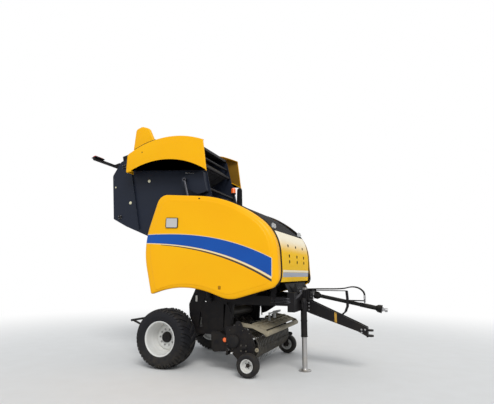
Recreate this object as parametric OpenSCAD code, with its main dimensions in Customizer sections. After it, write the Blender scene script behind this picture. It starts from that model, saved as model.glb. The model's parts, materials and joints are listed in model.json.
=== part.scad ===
// Round baler: a towed machine that picks up a windrow and rolls it into a round bale.
// The frame: X points the way of travel, Y to the machine's left, Z up, Z = 0 on the ground.
// Modules draw at the axle (X = 0 under the wheels); placed() moves them into the part's frame.
// The tailgate's pieces are drawn shut and turned up by tailgate_open.

/* [Overall] */
// Place of the wheel axle along the part
axle_x = -935; // [-1200:5:-400]
// How far the tailgate stands open, in degrees
tailgate_open = 78; // [40:1:80]
// Half the inside width of the bale chamber
chamber_half = 600; // [560:5:620]
// Thickness of the chamber and tailgate side plates
wall_t = 12; // [8:1:16]

/* [Wheels] */
// Overall diameter of a main tyre
tyre_d = 1020; // [960:10:1060]
// Width of a main tyre
tyre_w = 500; // [420:10:520]
// Gap between the chassis and the main tyres
tyre_gap = 15; // [10:1:60]
// Diameter on which a main tyre's bead sits
rim_d = 571; // [540:1:600]
// Radius of the axle spindle
spindle_r = 35; // [28:1:40]
// Diameter of a gauge wheel's tyre
gauge_d = 375; // [340:5:400]
// Width of a gauge wheel's tyre
gauge_w = 170; // [120:5:180]
// Gauge wheel's place ahead of the axle
gauge_x = 1630; // [1560:10:1680]

/* [Body] */
// Half the width over the side shields
shield_half = 1200; // [1150:10:1230]
// Wall thickness of the side shields' skin
shield_t = 12; // [8:1:16]
// Half the width of the front door and the top deck
door_half = 945; // [900:5:960]
// Thickness of the front door's skin
door_t = 12; // [8:1:16]
// Height of the tailgate's hinge pins above the ground
hinge_z = 2950; // [2900:10:3000]
// Radius of the tailgate's hinge pins
hinge_r = 30; // [24:1:36]

/* [Drawbar] */
// Hitch pin's place ahead of the axle
hitch_x = 3430; // [3300:10:3600]
// Height of the hitch clevis's middle
hitch_z = 640; // [560:10:700]
// Radius of the hole for the hitch pin
hitch_pin_r = 16.5; // [13:0.5:20]
// Width of the drawbar
tongue_w = 170; // [140:10:200]
// Radius of the drive shaft's splined bore
pto_bore_r = 17.5; // [17:0.1:22]

/* [Pickup] */
// Half the width between the pickup's side plates
pickup_half = 1000; // [960:10:1010]
// Radius of the circle that the tine tips run on
tine_tip_r = 290; // [270:5:300]
// Radius of the stripper bands
band_r = 228; // [220:1:235]
// Distance from one stripper band to the next
band_pitch = 80; // [76:1:90]
// Width of a stripper band
band_w = 46; // [40:1:50]
// Number of tine bars on the reel
tine_bars = 5; // [4:1:6]

/* [Hidden] */
$fn = 48;
fit = 0.1;        // running clearance of a pin in its bore
seat = 0.3;       // gap of curved pieces that bear on each other
run = 10;         // gap between panels that move past each other
hinge_x = 620;
wall_out = chamber_half + wall_t;
rib_out = wall_out + 36;
frame_in = rib_out + 12;
frame_out = frame_in + 75;
tyre_r = tyre_d / 2;
hub_z = tyre_r;
wheel_y = frame_out + tyre_gap + tyre_w / 2;
cyl_y = frame_out + 70;
gauge_y = pickup_half + 140;
rail_z0 = hub_z + 60;
rail_z1 = rail_z0 + 120;

// Helpers: corners with radii, plates and rods across the machine

function unit(v) = v / norm(v);
function cross_z(a, b) = a[0] * b[1] - a[1] * b[0];
// Points of one rounded corner; c holds x, z and the corner's radius
function corner(a, c, b, steps) =
  let (u = unit([a[0] - c[0], a[1] - c[1]]), v = unit([b[0] - c[0], b[1] - c[1]]),
       half = acos(max(-1, min(1, u * v))) / 2,
       reach = c[2] / tan(half),
       middle = [c[0], c[1]] + unit(u + v) * c[2] / sin(half),
       start = [c[0], c[1]] + u * reach - middle,
       turn = (180 - 2 * half) * (cross_z(u, v) > 0 ? -1 : 1))
  c[2] < 1 ? [[c[0], c[1]]] :
  [for (i = [0:steps]) let (t = turn * i / steps)
    middle + [start[0] * cos(t) - start[1] * sin(t), start[0] * sin(t) + start[1] * cos(t)]];
// The rounded corners of a run of points that comes from a and goes on to b
function rounded_run(pts, a, b, steps = 6) =
  let (all = [[a[0], a[1], 0], each pts, [b[0], b[1], 0]])
  [for (i = [1:len(all) - 2]) each corner(all[i - 1], all[i], all[i + 1], steps)];
function rounded(pts, steps = 6) =
  [for (i = [0:len(pts) - 1])
    each corner(pts[(i + len(pts) - 1) % len(pts)], pts[i], pts[(i + 1) % len(pts)], steps)];

// A side-view outline of [x, z] points, made solid from y0 to y1
module plate(pts, y0, y1) {
  translate([0, y1, 0]) rotate([90, 0, 0]) linear_extrude(y1 - y0) polygon(pts);
}
module rod(x, z, r, y0, y1) {
  translate([x, y0, z]) rotate([-90, 0, 0]) cylinder(r = r, h = y1 - y0);
}
module bar(x0, x1, y0, y1, z0, z1) {
  translate([x0, y0, z0]) cube([x1 - x0, y1 - y0, z1 - z0]);
}
module strut(a, b, r) {
  d = b - a;
  translate(a) rotate([0, acos(d[2] / norm(d)), atan2(d[1], d[0])]) cylinder(r = r, h = norm(d));
}
module both() {
  children();
  mirror([0, 1, 0]) children();
}
module on_side(s) {
  if (s > 0) children();
  if (s < 0) mirror([0, 1, 0]) children();
}
module placed() {
  translate([axle_x, 0, 0]) children();
}
module opened() {
  translate([hinge_x, 0, hinge_z]) rotate([0, tailgate_open, 0])
    translate([-hinge_x, 0, -hinge_z]) children();
}
// The loop of a belt round like rolls at the corners of a convex outline, listed anticlockwise
function belt_line(rolls, r, step = 12) =
  [for (i = [0:len(rolls) - 1])
    let (n = len(rolls), p = rolls[(i + n - 1) % n], c = rolls[i], q = rolls[(i + 1) % n],
         a0 = atan2(c[1] - p[1], c[0] - p[0]) - 90,
         a1 = atan2(q[1] - c[1], q[0] - c[0]) - 90,
         sweep = (a1 - a0 + 720) % 360, k = ceil(sweep / step))
    each [for (j = [0:k]) let (a = a0 + sweep * j / k) c + r / cos(sweep / k / 2) * [cos(a), sin(a)]]];
module belts(rolls, roll_r, count, width, pitch, thick) {
  for (i = [0:count - 1])
    let (y = (i - (count - 1) / 2) * pitch)
      translate([0, y + width / 2, 0]) rotate([90, 0, 0]) linear_extrude(width)
        difference() {
          polygon(belt_line(rolls, roll_r + seat + thick));
          polygon(belt_line(rolls, roll_r + seat));
        }
}

// Chamber and tailgate outlines, drawn shut, as [x, z, corner radius]

mouth = [[905, 1500, 300], [975, 1950, 500], [900, 2500, 500], [742, 2800, 200]];
upright_rear = 470;
wall_front = [
  [559 + run, 980, 0], [905 + run, 1500, 300], [975 + run, 1950, 500],
  [900 + run, 2500, 500], [770, 2790, 60], [800, 2890, 0],
  [1000, 2890, 60], [1500, 2680, 120], [1700, 2350, 200], [1620, 1560, 160],
  [1380, 1260, 60], [1140, 1200, 30], [1140, 860, 60], [1120, 600, 60], [900, 600, 60],
  [560, 700, 0], [530, 760, 0]];
wall_gate = [
  [hinge_x + 85, 2965, 80], [625, 3035, 50], [-590, 2990, 120], [-790, 2560, 260],
  [-870, 2000, 400], [-870, 1060, 60], [-620, 800, 80], [325, 690, 20],
  [559, 980, 0], [905, 1500, 300], [975, 1950, 500], [900, 2500, 500], [742, 2800, 120]];

// Rolls as [x, z] with their radius; the belts' corner rolls come first

front_belt_rolls = [[1000, 1130], [1480, 1700], [1520, 2250], [1180, 2640], [940, 2560]];
front_roll_r = 62;
floor_rolls = [[700, 850, 105], [960, 925, 90]];
gate_belt_rolls = [[330, 860], [-250, 2850], [-690, 2420], [-740, 1120]];
gate_belt_order = [[-740, 1120], [330, 860], [-250, 2850], [-690, 2420]];
gate_roll_r = 62;
gate_bars = [[300, 2978, 26], [-185, 2966, 30], [-379, 2960, 22]];
belt_count = 4;
belt_w = 265;
belt_pitch = 285;
belt_t = 8;

// Chassis

upright = [
  [410, rail_z1, 0], [315, 870, 60], [295, 1080, 80], [420, 1350, 120], [470, 1700, 200],
  [480, 2860, 0], [540, 2960, 0], [540, 3045, 60], [705, 3045, 60], [760, 2900, 0],
  [820, 2300, 200], [740, 1500, 200], [600, 1150, 80], [525, 920, 40], [490, rail_z1, 0]];
longeron = [
  [640, 1290, 0], [2240, 1240, 0], [2240, 1100, 0], [700, 1100, 60],
  [620, 1160, 0]];
module main_frame() {
  color([0.10, 0.10, 0.12]) {
    both() {
      bar(-70, 1150, frame_in, frame_out, rail_z0, rail_z1);
      plate(rounded(upright), frame_in, frame_out);
      plate(rounded(longeron), frame_in, frame_out);
      plate([[1010, rail_z1 - 1], [1150, rail_z1 - 1], [1180, 1110], [1040, 1110]], frame_in, frame_out);
      rod(hinge_x, hinge_z, hinge_r, chamber_half - 8, frame_in + 1);
      rod(pickup_pivot[0], pickup_pivot[1], pivot_r, frame_out - 1, frame_out + 62);
    }
    bar(2180, 2300, -frame_out, frame_out, 1000, 1320);
    bar(1690, 1770, -frame_in - 1, frame_in + 1, 1120, 1200);
    rod(760, 600, 36, -frame_in - 1, frame_in + 1);
    both() {
      bar(700, 870, frame_in, frame_out, 2810, 2930);
      plate([[1880, 1200], [1960, 1200], [2010, 1900], [2000, 2320], [1930, 2320], [1930, 1900]],
            frame_in, frame_out);
      rod(cyl_foot[0], cyl_foot[1], cyl_pin_r, frame_out - 1, cyl_y + 28);
    }
    bar(1930, 2000, -door_half + 60, door_half - 60, 2280, 2330);
    for (y = door_hinges) {
      for (side = [-1, 1]) bar(1999, door_pin[0] + 14, y + side * 26 - 4, y + side * 26 + 4, 2285, 2330);
      rod(door_pin[0], door_pin[1], door_pin_r, y - 28, y + 28);
    }
  }
}
hinge_bar_y = cyl_y + 107;
door_pin = [2026, 2310];
door_pin_r = 9;
door_hinges = [-620, 620];
shield_pin_y = hinge_bar_y + 28;
shield_pin_z = 2960;
shield_pin_r = 10;
shield_arms = [150, 700];
module hinge_bar() {
  bar(110, 870, hinge_bar_y - 41, hinge_bar_y, shield_pin_z - 20, shield_pin_z + 20);
  for (x = shield_arms) {
    for (side = [-1, 1]) bar(x + side * 32 - 8, x + side * 32 + 8,
      hinge_bar_y - 1, shield_pin_y + 12, shield_pin_z - 14, shield_pin_z + 14);
    translate([x - 33, shield_pin_y, shield_pin_z]) rotate([0, 90, 0]) cylinder(r = shield_pin_r, h = 66);
  }
}

// Black closing panels low on each side, with the plate that carries the reflector
module side_panels() {
  color([0.10, 0.10, 0.11]) both() {
    plate(rounded([[600, 600, 20], [1000, 600, 20], [1000, 1130, 0], [600, 1130, 0], [545, 960, 40]]),
          frame_out, frame_out + 4);
    bar(930, 990, frame_out + 3, reflector_y - 4, 600, 640);
    plate(rounded([[830, 640, 40], [1010, 640, 30], [1158, 560, 40], [1158, 330, 60], [860, 300, 60]]),
          reflector_y - 6, reflector_y);
    bar(1040, 1090, frame_out, frame_out + 80, 1104, 1124);
    plate([[1052, 1122], [1090, 1122], [1136, 1060], [1178, 945], [1186, 785],
           [1176, 785], [1168, 942], [1128, 1054], [1086, 1104], [1052, 1104]],
          frame_out + 40, frame_out + 80);
  }
}

// The cross bar and the two rails that the side shields hang on
module shield_rails() {
  color([0.10, 0.10, 0.12]) {
    bar(800, 880, -hinge_bar_y + 40, hinge_bar_y - 40, 2930, 3000);
    both() {
      bar(560, 640, frame_out, hinge_bar_y - 40, 2960, 2990);
      hinge_bar();
    }
  }
}

module axle_beam() {
  color([0.10, 0.10, 0.12]) {
    bar(-60, 60, 260 - wheel_y, wheel_y - 260, hub_z - 60, hub_z + 60);
    both() {
      difference() {
        plate([[-50, 500], [-160, 340], [-110, 290], [-60, 340], [40, 451], [40, 500]],
              ramp_half + 8, ramp_half + 24);
        rod(ramp_pivot[0], ramp_pivot[1], ramp_r + fit, ramp_half, ramp_half + 40);
      }
      rod(0, hub_z, 62, wheel_y - 261, wheel_y - 230);
      rod(0, hub_z, spindle_r, wheel_y - 231, wheel_y - 60);
    }
  }
}

module chamber_wall(s) {
  color([0.13, 0.13, 0.15]) on_side(s) difference() {
    union() {
    plate(rounded(wall_front), chamber_half, wall_out);
    bar(790, 870, wall_out - 1, frame_in, 2810, 2880);
    rod(rotor_c[0], rotor_c[1], 70, wall_out - 1, rib_out);
    bar(1300, 1380, wall_out - 1, frame_in, 1110, 1275);
    bar(1300, 1380, wall_out - 12, frame_in - 12, 1230, 1500);
    bar(760, 840, wall_out - 1, frame_in, 650, 720);
    for (x = [1130, 1330, 1500]) bar(x, x + 8, wall_out - 1, rib_out, 1560, 2500);
    for (c = floor_rolls) rod(c[0], c[1], 60, wall_out - 1, rib_out);
    for (c = front_belt_rolls) rod(c[0], c[1], 48, wall_out - 1, rib_out);
    }
    rod(rotor_c[0], rotor_c[1], rotor_shaft_r + fit, chamber_half - 1, rib_out + 1);
  }
}

module front_rolls() {
  color([0.42, 0.43, 0.45]) {
    for (c = floor_rolls) rod(c[0], c[1], c[2], seat - chamber_half, chamber_half - seat);
    for (c = front_belt_rolls) rod(c[0], c[1], front_roll_r, seat - chamber_half, chamber_half - seat);
  }
}

module front_belts() {
  color([0.06, 0.06, 0.06]) belts(front_belt_rolls, front_roll_r, belt_count, belt_w, belt_pitch, belt_t);
}

// The feed rotor's stars, each turned on from the last

rotor_c = [1010, 690];
rotor_r = 125;
rotor_shaft_r = 28;
rotor_stars = 13;
rotor_pitch = 85;
module star(r, root) {
  for (k = [0:2]) rotate(120 * k) polygon([[-root, 0], [0, -root], [r, -14], [r - 10, 16], [root * 0.6, root]]);
}
module feed_rotor() {
  color([0.30, 0.30, 0.32]) {
    rod(rotor_c[0], rotor_c[1], 58, run - chamber_half, chamber_half - run);
    rod(rotor_c[0], rotor_c[1], rotor_shaft_r, 2 - rib_out, rib_out - 2);
    for (i = [0:rotor_stars - 1])
      translate([rotor_c[0], (i - (rotor_stars - 1) / 2) * rotor_pitch + 6, rotor_c[1]])
        rotate([90, 0, 0]) linear_extrude(12) rotate(i * 28) star(rotor_r, 70);
  }
}

deck_line = [[800, 3050], [970, 3012], [1270, 2892], [1530, 2752], [1710, 2632], [1850, 2515], [2020, 2375]];
deck_side = [each deck_line, for (i = [len(deck_line) - 2:-1:1]) deck_line[i] - [24, 60],
  [890, 2975], [890, 3001], [800, 3001]];
module top_deck() {
  color([0.08, 0.08, 0.09]) {
    plate([each deck_line, for (i = [len(deck_line) - 1:-1:0]) deck_line[i] - [8, 12]],
          80 - door_half, door_half - 80);
    both() plate(deck_side, door_half - 92, door_half - 80);
    bar(810, 880, -500, 500, 3000, 3035);
    translate([beacon[0], beacon[1], 3034]) cylinder(r = 14, h = beacon[2] - 3034);
    bar(1935, 1972, -500, 500, 2330, 2405);
    translate([deck_post[0], deck_post[1], 2985]) cylinder(r1 = 60, r2 = 52, h = deck_post[2] - 2985);
    translate(deck_post) sphere(r = 52);
  }
}

module gearbox() {
  color([0.14, 0.14, 0.15]) {
    bar(2300, 2420, -130, 130, 1165, 1350);
    translate([2420, 0, pto_rear[2]]) rotate([0, 90, 0]) cylinder(r = 75, h = 30);
    rod(2360, 1290, 55, 129, 420);
    bar(2300, 2420, 419, 470, 1200, 1350);
  }
}

// Drawbar, hitch, hoses and stand

tongue_side = [
  [2300, 1165], [2420, 1165], [3260, 800], [3400, 735], [3400, hitch_z - 60],
  [3240, 665], [2420, 935], [2300, 985]];
clevis_t = 28;
clevis_gap = 62;
module tongue() {
  color([0.11, 0.10, 0.13]) {
    both() plate(tongue_side, tongue_w / 2 - 12, tongue_w / 2);
    plate([[2300, 1150], [2418, 1150], [3258, 785], [3400, 722],
           [3400, 708], [3258, 771], [2418, 1136], [2300, 1136]], 1 - tongue_w / 2, tongue_w / 2 - 1);
    plate([[2300, 1015], [2420, 965], [3240, 695], [3390, 620],
           [3390, 606], [3240, 681], [2420, 951], [2300, 1001]], 1 - tongue_w / 2, tongue_w / 2 - 1);
    bar(2300, 2318, -260, 260, 985, 1135);
    difference() {
      union() {
        bar(3380, 3402, -tongue_w / 2, tongue_w / 2, hitch_z - 64, 735);
        for (z = [clevis_gap / 2, -clevis_gap / 2 - clevis_t]) {
          bar(3395, hitch_x, -62, 62, hitch_z + z, hitch_z + z + clevis_t);
          translate([hitch_x, 0, hitch_z + z]) cylinder(r = 62, h = clevis_t);
        }
      }
      translate([hitch_x, 0, hitch_z - 100]) cylinder(r = hitch_pin_r, h = 200);
    }
  }
}

// A tube swept along a line of points, with flat ends
function ring_frame(p, i) =
  let (a = p[max(i - 1, 0)], b = p[min(i + 1, len(p) - 1)], t = unit(b - a), s = unit(cross(t, [0.02, 1, 0.03])))
  [s, cross(t, s)];
module sweep(p, r, sides = 8) {
  pts = [for (i = [0:len(p) - 1]) let (f = ring_frame(p, i))
    for (k = [0:sides - 1]) p[i] + r * (f[0] * cos(360 * k / sides) + f[1] * sin(360 * k / sides))];
  last = (len(p) - 1) * sides;
  polyhedron(pts, [
    [for (k = [0:sides - 1]) k],
    for (i = [0:len(p) - 2]) for (k = [0:sides - 1])
      let (a = i * sides + k, b = i * sides + (k + 1) % sides) each [[a, a + sides, b + sides, b]],
    [for (k = [sides - 1:-1:0]) last + k]]);
}

mast_line = [[2958, 934], [3020, 985], [3058, 1080], [3060, 1210], [3050, 1345]];
module hose_mast() {
  color([0.10, 0.10, 0.11]) {
    plate([each mast_line, for (i = [len(mast_line) - 1:-1:0]) mast_line[i] + [42, 0]],
          mast_y - mast_r, mast_y + mast_r);
    plate([[2930, 943.8], [3010, 909], [3010, 929], [2930, 964]], mast_y - 24, mast_y + mast_r);
    bar(2420, 3080, mast_y - 14, mast_y + 14, 1336, 1350);
    bar(3070, 3380, mast_y - 10, mast_y + 10, 1170, 1190);
    bar(3370, 3382, mast_y - 70, mast_y + 70, 1150, 1210);
  }
}
mast_y = -60;
mast_r = 25;

// The hoses' way: along the holder tube, over the mast's top and down into their parking plate
hose_r = 11;
hose_line = [
  [2330, 1361.3], [2500, 1368], [2700, 1372], [2900, 1376], [3040, 1388], [3130, 1410],
  [3220, 1412], [3300, 1385], [3360, 1330], [3376, 1270], [3376, 1210.3]];
hose_ys = [-48, -16, 16, 48];
module hoses() {
  color([0.04, 0.04, 0.04])
    for (dy = hose_ys) sweep([for (p = hose_line) [p[0], mast_y + dy, p[1]]], hose_r);
}

jack_x = 2360;
jack_y = -330;
jack_r = 55;
leg_r = 44;
module jack_tube() {
  color([0.09, 0.11, 0.10]) {
    difference() {
      translate([jack_x, jack_y, 560]) cylinder(r = jack_r, h = 600);
      translate([jack_x, jack_y, 550]) cylinder(r = leg_r + seat, h = 580);
    }
    bar(2300, jack_x - 45, jack_y - 45, jack_y + 45, 1020, 1120);
    translate([jack_x, jack_y, 1159]) cylinder(r = 34, h = 50);
    strut([jack_x, jack_y, 1185], [jack_x, jack_y - 130, 1185], 9);
    strut([jack_x, jack_y - 128, 1190], [jack_x, jack_y - 128, 1110], 11);
  }
}
module jack_leg() {
  color([0.55, 0.56, 0.57]) translate([jack_x, jack_y, 0]) {
    cylinder(r = leg_r, h = 700);
    cylinder(r = 110, h = 12);
  }
}

// Drive shaft, from the gearbox's stub to the yoke for the tractor

pto_rear = [2450, 0, 1270];
pto_front = [3740, 0, 1026];
module pto_shaft() {
  axis = pto_front - pto_rear;
  len_p = norm(axis);
  color([0.06, 0.06, 0.06]) translate(pto_rear) rotate([0, acos(axis[2] / len_p), 0])
    difference() {
      union() {
        translate([0, 0, seat + 6]) cylinder(r = 34, h = 70);
        translate([0, 0, 40]) cylinder(r1 = 70, r2 = 66, h = 110);
        translate([0, 0, 140]) cylinder(r = 33, h = len_p - 560);
        translate([0, 0, len_p - 560 + 100]) cylinder(r = 38, h = 300);
        translate([0, 0, len_p - 190]) cylinder(r1 = 62, r2 = 70, h = 100);
        translate([0, 0, len_p - 100]) cylinder(r = 34, h = 100);
      }
      translate([0, 0, len_p - 80]) cylinder(r = pto_bore_r, h = 100);
    }
}

module amber_lamps() {
  color([0.95, 0.42, 0.08]) {
    translate([beacon[0], beacon[1], beacon[2]]) cylinder(r = 46, h = 110);
    translate([beacon[0], beacon[1], beacon[2] + 110]) sphere(r = 46);
    both() rod(reflector[0], reflector[1], 42, reflector_y, reflector_y + 14);
  }
}
beacon = [850, 0, 3240];
deck_post = [978, 20, 3320];
reflector = [1110, 520];
reflector_y = door_half - 57;

// Wheels: the tyre's and rim's half sections as [radius, offset from the middle]

tyre_half = [
  [rim_d / 2 + seat, 0], [rim_d / 2 + seat, 0.40], [0.62 * tyre_r, 0.455], [0.71 * tyre_r, 0.492],
  [0.785 * tyre_r, 0.5], [0.865 * tyre_r, 0.488], [0.925 * tyre_r, 0.455], [0.962 * tyre_r, 0.41],
  [0.985 * tyre_r, 0.33], [tyre_r, 0.2], [tyre_r, 0]];
module tyre(w, half) {
  rotate([90, 0, 0]) rotate_extrude()
    polygon([for (p = half) [p[0], p[1] * w], for (i = [len(half) - 1:-1:0]) [half[i][0], -half[i][1] * w]]);
}
lug_h = 20;
lug_count = 22;
lug_w = 62;
lug_turn = 32;
// One tread block: the crown line kept inside the tyre's round, cut to a slanted bar
crown = [for (p = tyre_half) if (p[0] > 0.86 * tyre_r && p[1] > 0) [0.93 * p[1] * tyre_w / cos(lug_turn), p[0]]];
function lug_reach(s, r) = sqrt(r * r - pow(s * sin(lug_turn) + lug_w / 2 * cos(lug_turn), 2));
lug_top = [for (c = [each crown, [14, tyre_r]]) [c[0], lug_reach(c[0], c[1])]];
module lug(side) {
  rotate(a = 180, v = [1, 1, 0]) rotate([0, side * lug_turn, 0])
    linear_extrude(lug_w, center = true) scale([side, 1]) polygon(
      [each lug_top, for (i = [len(lug_top) - 1:-1:0]) lug_top[i] - [0, lug_h + 14]]);
}
module main_tyre(s) {
  color([0.05, 0.05, 0.055]) translate([0, s * wheel_y, hub_z]) {
    tyre(tyre_w, [for (p = tyre_half) [p[0] - lug_h * max(0, min(1, (p[0] / tyre_r - 0.8) / 0.12)), p[1]]]);
    for (i = [0:lug_count - 1]) for (side = [-1, 1])
      rotate([0, 360 * (i + side / 4) / lug_count, 0]) lug(side);
  }
}
rim_r = rim_d / 2;
disc_y = -30;
module main_rim(s) {
  color([0.80, 0.81, 0.80]) translate([0, s * wheel_y, hub_z]) mirror([0, s < 0 ? 1 : 0, 0]) rotate([-90, 0, 0])
    rotate_extrude() polygon([
      [spindle_r + fit, -160], [85, -160], [85, disc_y - 20], [190, disc_y - 14], [rim_r - 70, disc_y - 60],
      [rim_r - 14, disc_y - 90], [rim_r - 14, -214], [rim_r + 14, -223], [rim_r + 14, -215], [rim_r, -201],
      [rim_r, 201], [rim_r + 14, 215], [rim_r + 14, 223], [rim_r - 6, 220], [rim_r - 14, 190], [rim_r - 24, 60],
      [rim_r - 60, disc_y - 30], [190, disc_y], [94, disc_y], [94, disc_y + 32], [80, disc_y + 42],
      [0, disc_y + 42], [0, disc_y], [spindle_r + fit, disc_y]]);
}

gauge_half = [
  [100 + seat, 0], [100 + seat, 0.40], [130, 0.48], [150, 0.5], [170, 0.46], [gauge_d / 2 - 4, 0.36],
  [gauge_d / 2, 0.2], [gauge_d / 2, 0]];
gauge_z = gauge_d / 2;
module gauge_tyre(s) {
  color([0.05, 0.05, 0.055]) translate([gauge_x, s * gauge_y, gauge_z]) tyre(gauge_w, gauge_half);
}
gauge_pin_r = 14;
module gauge_rim(s) {
  color([0.82, 0.83, 0.82]) translate([gauge_x, s * gauge_y, gauge_z])
    mirror([0, s < 0 ? 1 : 0, 0]) rotate([-90, 0, 0])
    rotate_extrude() polygon([
      [gauge_pin_r + fit, -50], [32, -50], [32, -8], [84, -8], [90, -73], [106, -77], [106, -72], [100, -69],
      [100, 69], [106, 72], [106, 77], [92, 73], [84, 4],
      [32, 4], [32, 40], [0, 40], [0, 34], [gauge_pin_r + fit, 34]]);
}

// Tailgate, drawn shut

gate_arm = [[-40, 2500, 50], [150, 2500, 50], [390, 2800, 60], [390, 2990, 40], [-40, 2990, 40]];
gate_pin = [50, 2600];
// The pressed box that takes the cylinder's push, open towards the plate it is welded on
module gate_box() {
  difference() {
    plate(rounded(gate_arm), wall_out - 1, frame_out + 10);
    plate(rounded([for (p = gate_arm) [p[0] + (p[0] < 100 ? 12 : -12), p[1] + (p[1] < 2600 ? 12 : -12), max(0, p[2] - 10)]]),
          wall_out, frame_out - 2);
  }
  rod(gate_pin[0], gate_pin[1], 24, wall_out - 1, frame_out + 9);
}
module tailgate_wall(s) {
  color([0.13, 0.15, 0.19]) opened() on_side(s) difference() {
    union() {
      plate(rounded(wall_gate), chamber_half, wall_out);
      rod(hinge_x, hinge_z, 62, wall_out - 1, rib_out);
      plate([[hinge_x - 50, 2900], [400, 2900], [400, 3000], [hinge_x - 50, 3000]], wall_out - 1, rib_out);
      gate_box();
      plate([[-780, 1300], [700, 1300], [700, 1308], [-780, 1308]], wall_out - 1, rib_out);
      rod(gate_pin[0], gate_pin[1], 24, frame_out + 9, cyl_y - 30);
    }
    rod(hinge_x, hinge_z, hinge_r + fit, chamber_half - 10, frame_in + 10);
  }
}
module tailgate_frame() {
  color([0.10, 0.10, 0.12]) opened() {
    for (c = gate_bars) rod(c[0], c[1], c[2], seat - chamber_half, chamber_half - seat);
    bar(-630, -570, -chamber_half, chamber_half, 2915, 2980);
    plate(gate_back, -chamber_half, chamber_half);
    bar(-700, -620, -chamber_half, chamber_half, 880, 960);
  }
}
gate_back = [
  [-640, 2925], [-770, 2560], [-850, 2000], [-850, 1480],
  [-840, 1480], [-840, 2000], [-760, 2560], [-630, 2925]];
module tailgate_rolls() {
  color([0.42, 0.43, 0.45]) opened()
    for (c = gate_belt_rolls) rod(c[0], c[1], gate_roll_r, seat - chamber_half, chamber_half - seat);
}
module tailgate_belts() {
  color([0.06, 0.06, 0.06]) opened() belts(gate_belt_order, gate_roll_r, belt_count, belt_w, belt_pitch, belt_t);
}

// The yellow cover: a long arc over it and a flatter one under it, with a short square front end
function arc(c, r, a0, a1, n) = [for (i = [0:n]) let (a = a0 + (a1 - a0) * i / n) c + r * [cos(a), sin(a)]];
cover_top_c = [1004, 2060];
cover_top_r = 1950;
cover_low_c = [1279, 1840];
cover_low_r = 1780;
cover_tail = [[-845, 1420, 90], [-470, 1325, 26]];
cover_line = [each arc(cover_top_c, cover_top_r, 145.5, 193.2, 16), each rounded_run(cover_tail, cover_top_c +
  cover_top_r * [cos(193.2), sin(193.2)], cover_low_c + cover_low_r * [cos(192.5), sin(192.5)]),
  each arc(cover_low_c, cover_low_r, 192.5, 134.1, 16)];
// The inside runs under the top arc and out through the low one and the front, which stay open
cover_inside = [each arc(cover_top_c, cover_top_r - 12, 143, 192.8, 16), [-835, 1428], [-780, 1405],
  [-500, 1345], [-300, 1300], [-200, 1800], [-150, 2400], [100, 2900], [120, 3250]];
cover_y1 = 880;
module tailgate_cover(s) {
  color([0.93, 0.66, 0.08]) opened() on_side(s)
    difference() {
      plate(cover_line, wall_out, cover_y1);
      plate(cover_inside, wall_out - 5, cover_y1 - 10);
    }
}

module net_box() {
  color([0.09, 0.09, 0.10]) opened() {
    plate([[-1010, 1060], [-880, 1060], [-880, 1560], [-1010, 1500]],
          fin_t - chamber_half, chamber_half - fin_t);
    bar(-881, -840, 100 - chamber_half, chamber_half - 100, 1100, 1400);
  }
}
gate_face = -850 - seat;
// The hood: a low cover across the gate between two tall side fins
hood_line = [
  [gate_face, 1975, 0], [-1120, 1925, 60], [-1160, 1600, 60], [-1060, 1400, 20], [gate_face, 1440, 0]];
hood_inside = [
  [-830, 1960, 0], [-1112, 1912, 48], [-1148, 1602, 48], [-1056, 1380, 0], [-830, 1380, 0]];
fin_line = [
  [gate_face, 1990, 0], [-1400, 1852, 140], [-1500, 1690, 90], [-1480, 1530, 70],
  [-1060, 1392, 20], [gate_face, 1420, 0]];
fin_inside = [
  [-830, 1978, 0], [-1395, 1839, 128], [-1487, 1688, 78], [-1468, 1538, 58],
  [-1062, 1405, 8], [-830, 1434, 0]];
fin_t = 60;
module net_hood() {
  color([0.93, 0.66, 0.08]) opened() {
    difference() {
      plate(rounded(hood_line), 5 - chamber_half, chamber_half - 5);
      plate(rounded(hood_inside), 20 - chamber_half, chamber_half - 20);
    }
    both() difference() {
      plate(rounded(fin_line), chamber_half - fin_t, chamber_half);
      plate(rounded(fin_inside), chamber_half - fin_t - 1, chamber_half - 12);
    }
  }
}

light_x = -880;
light_z = 790;
light_half = 1150;
module light_bar() {
  color([0.07, 0.07, 0.08]) opened() {
    bar(light_x - 25, light_x + 25, -light_half, light_half, light_z - 25, light_z + 25);
    for (y = [-1, 1]) {
      bar(light_x - 20, light_x + 20, y * 520 - 20, y * 520 + 20, light_z + 24, 960);
      bar(light_x + 19, -700, y * 520 - 20, y * 520 + 20, 890, 950);
    }
    both() bar(light_x - 40, light_x - 24, 880, light_half, light_z - 60, light_z + 60);
  }
}
module tail_lamps() {
  color([0.75, 0.08, 0.06]) opened() both() {
    bar(light_x - 75, light_x - 40, 900, 1130, light_z - 50, light_z + 50);
  }
}

// Side shields: one crowned skin each, as rings round the outline

shield_edge = [
  [-138, 3091, 208], [1343, 2950, 2115], [2125, 2323, 780], [2171, 1443, 186], [1295, 1190, 536],
  [431, 1492, 1776], [-250, 1262, 29], [-466, 2121, 1387]];
shield_mid = [950, 2080];
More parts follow.
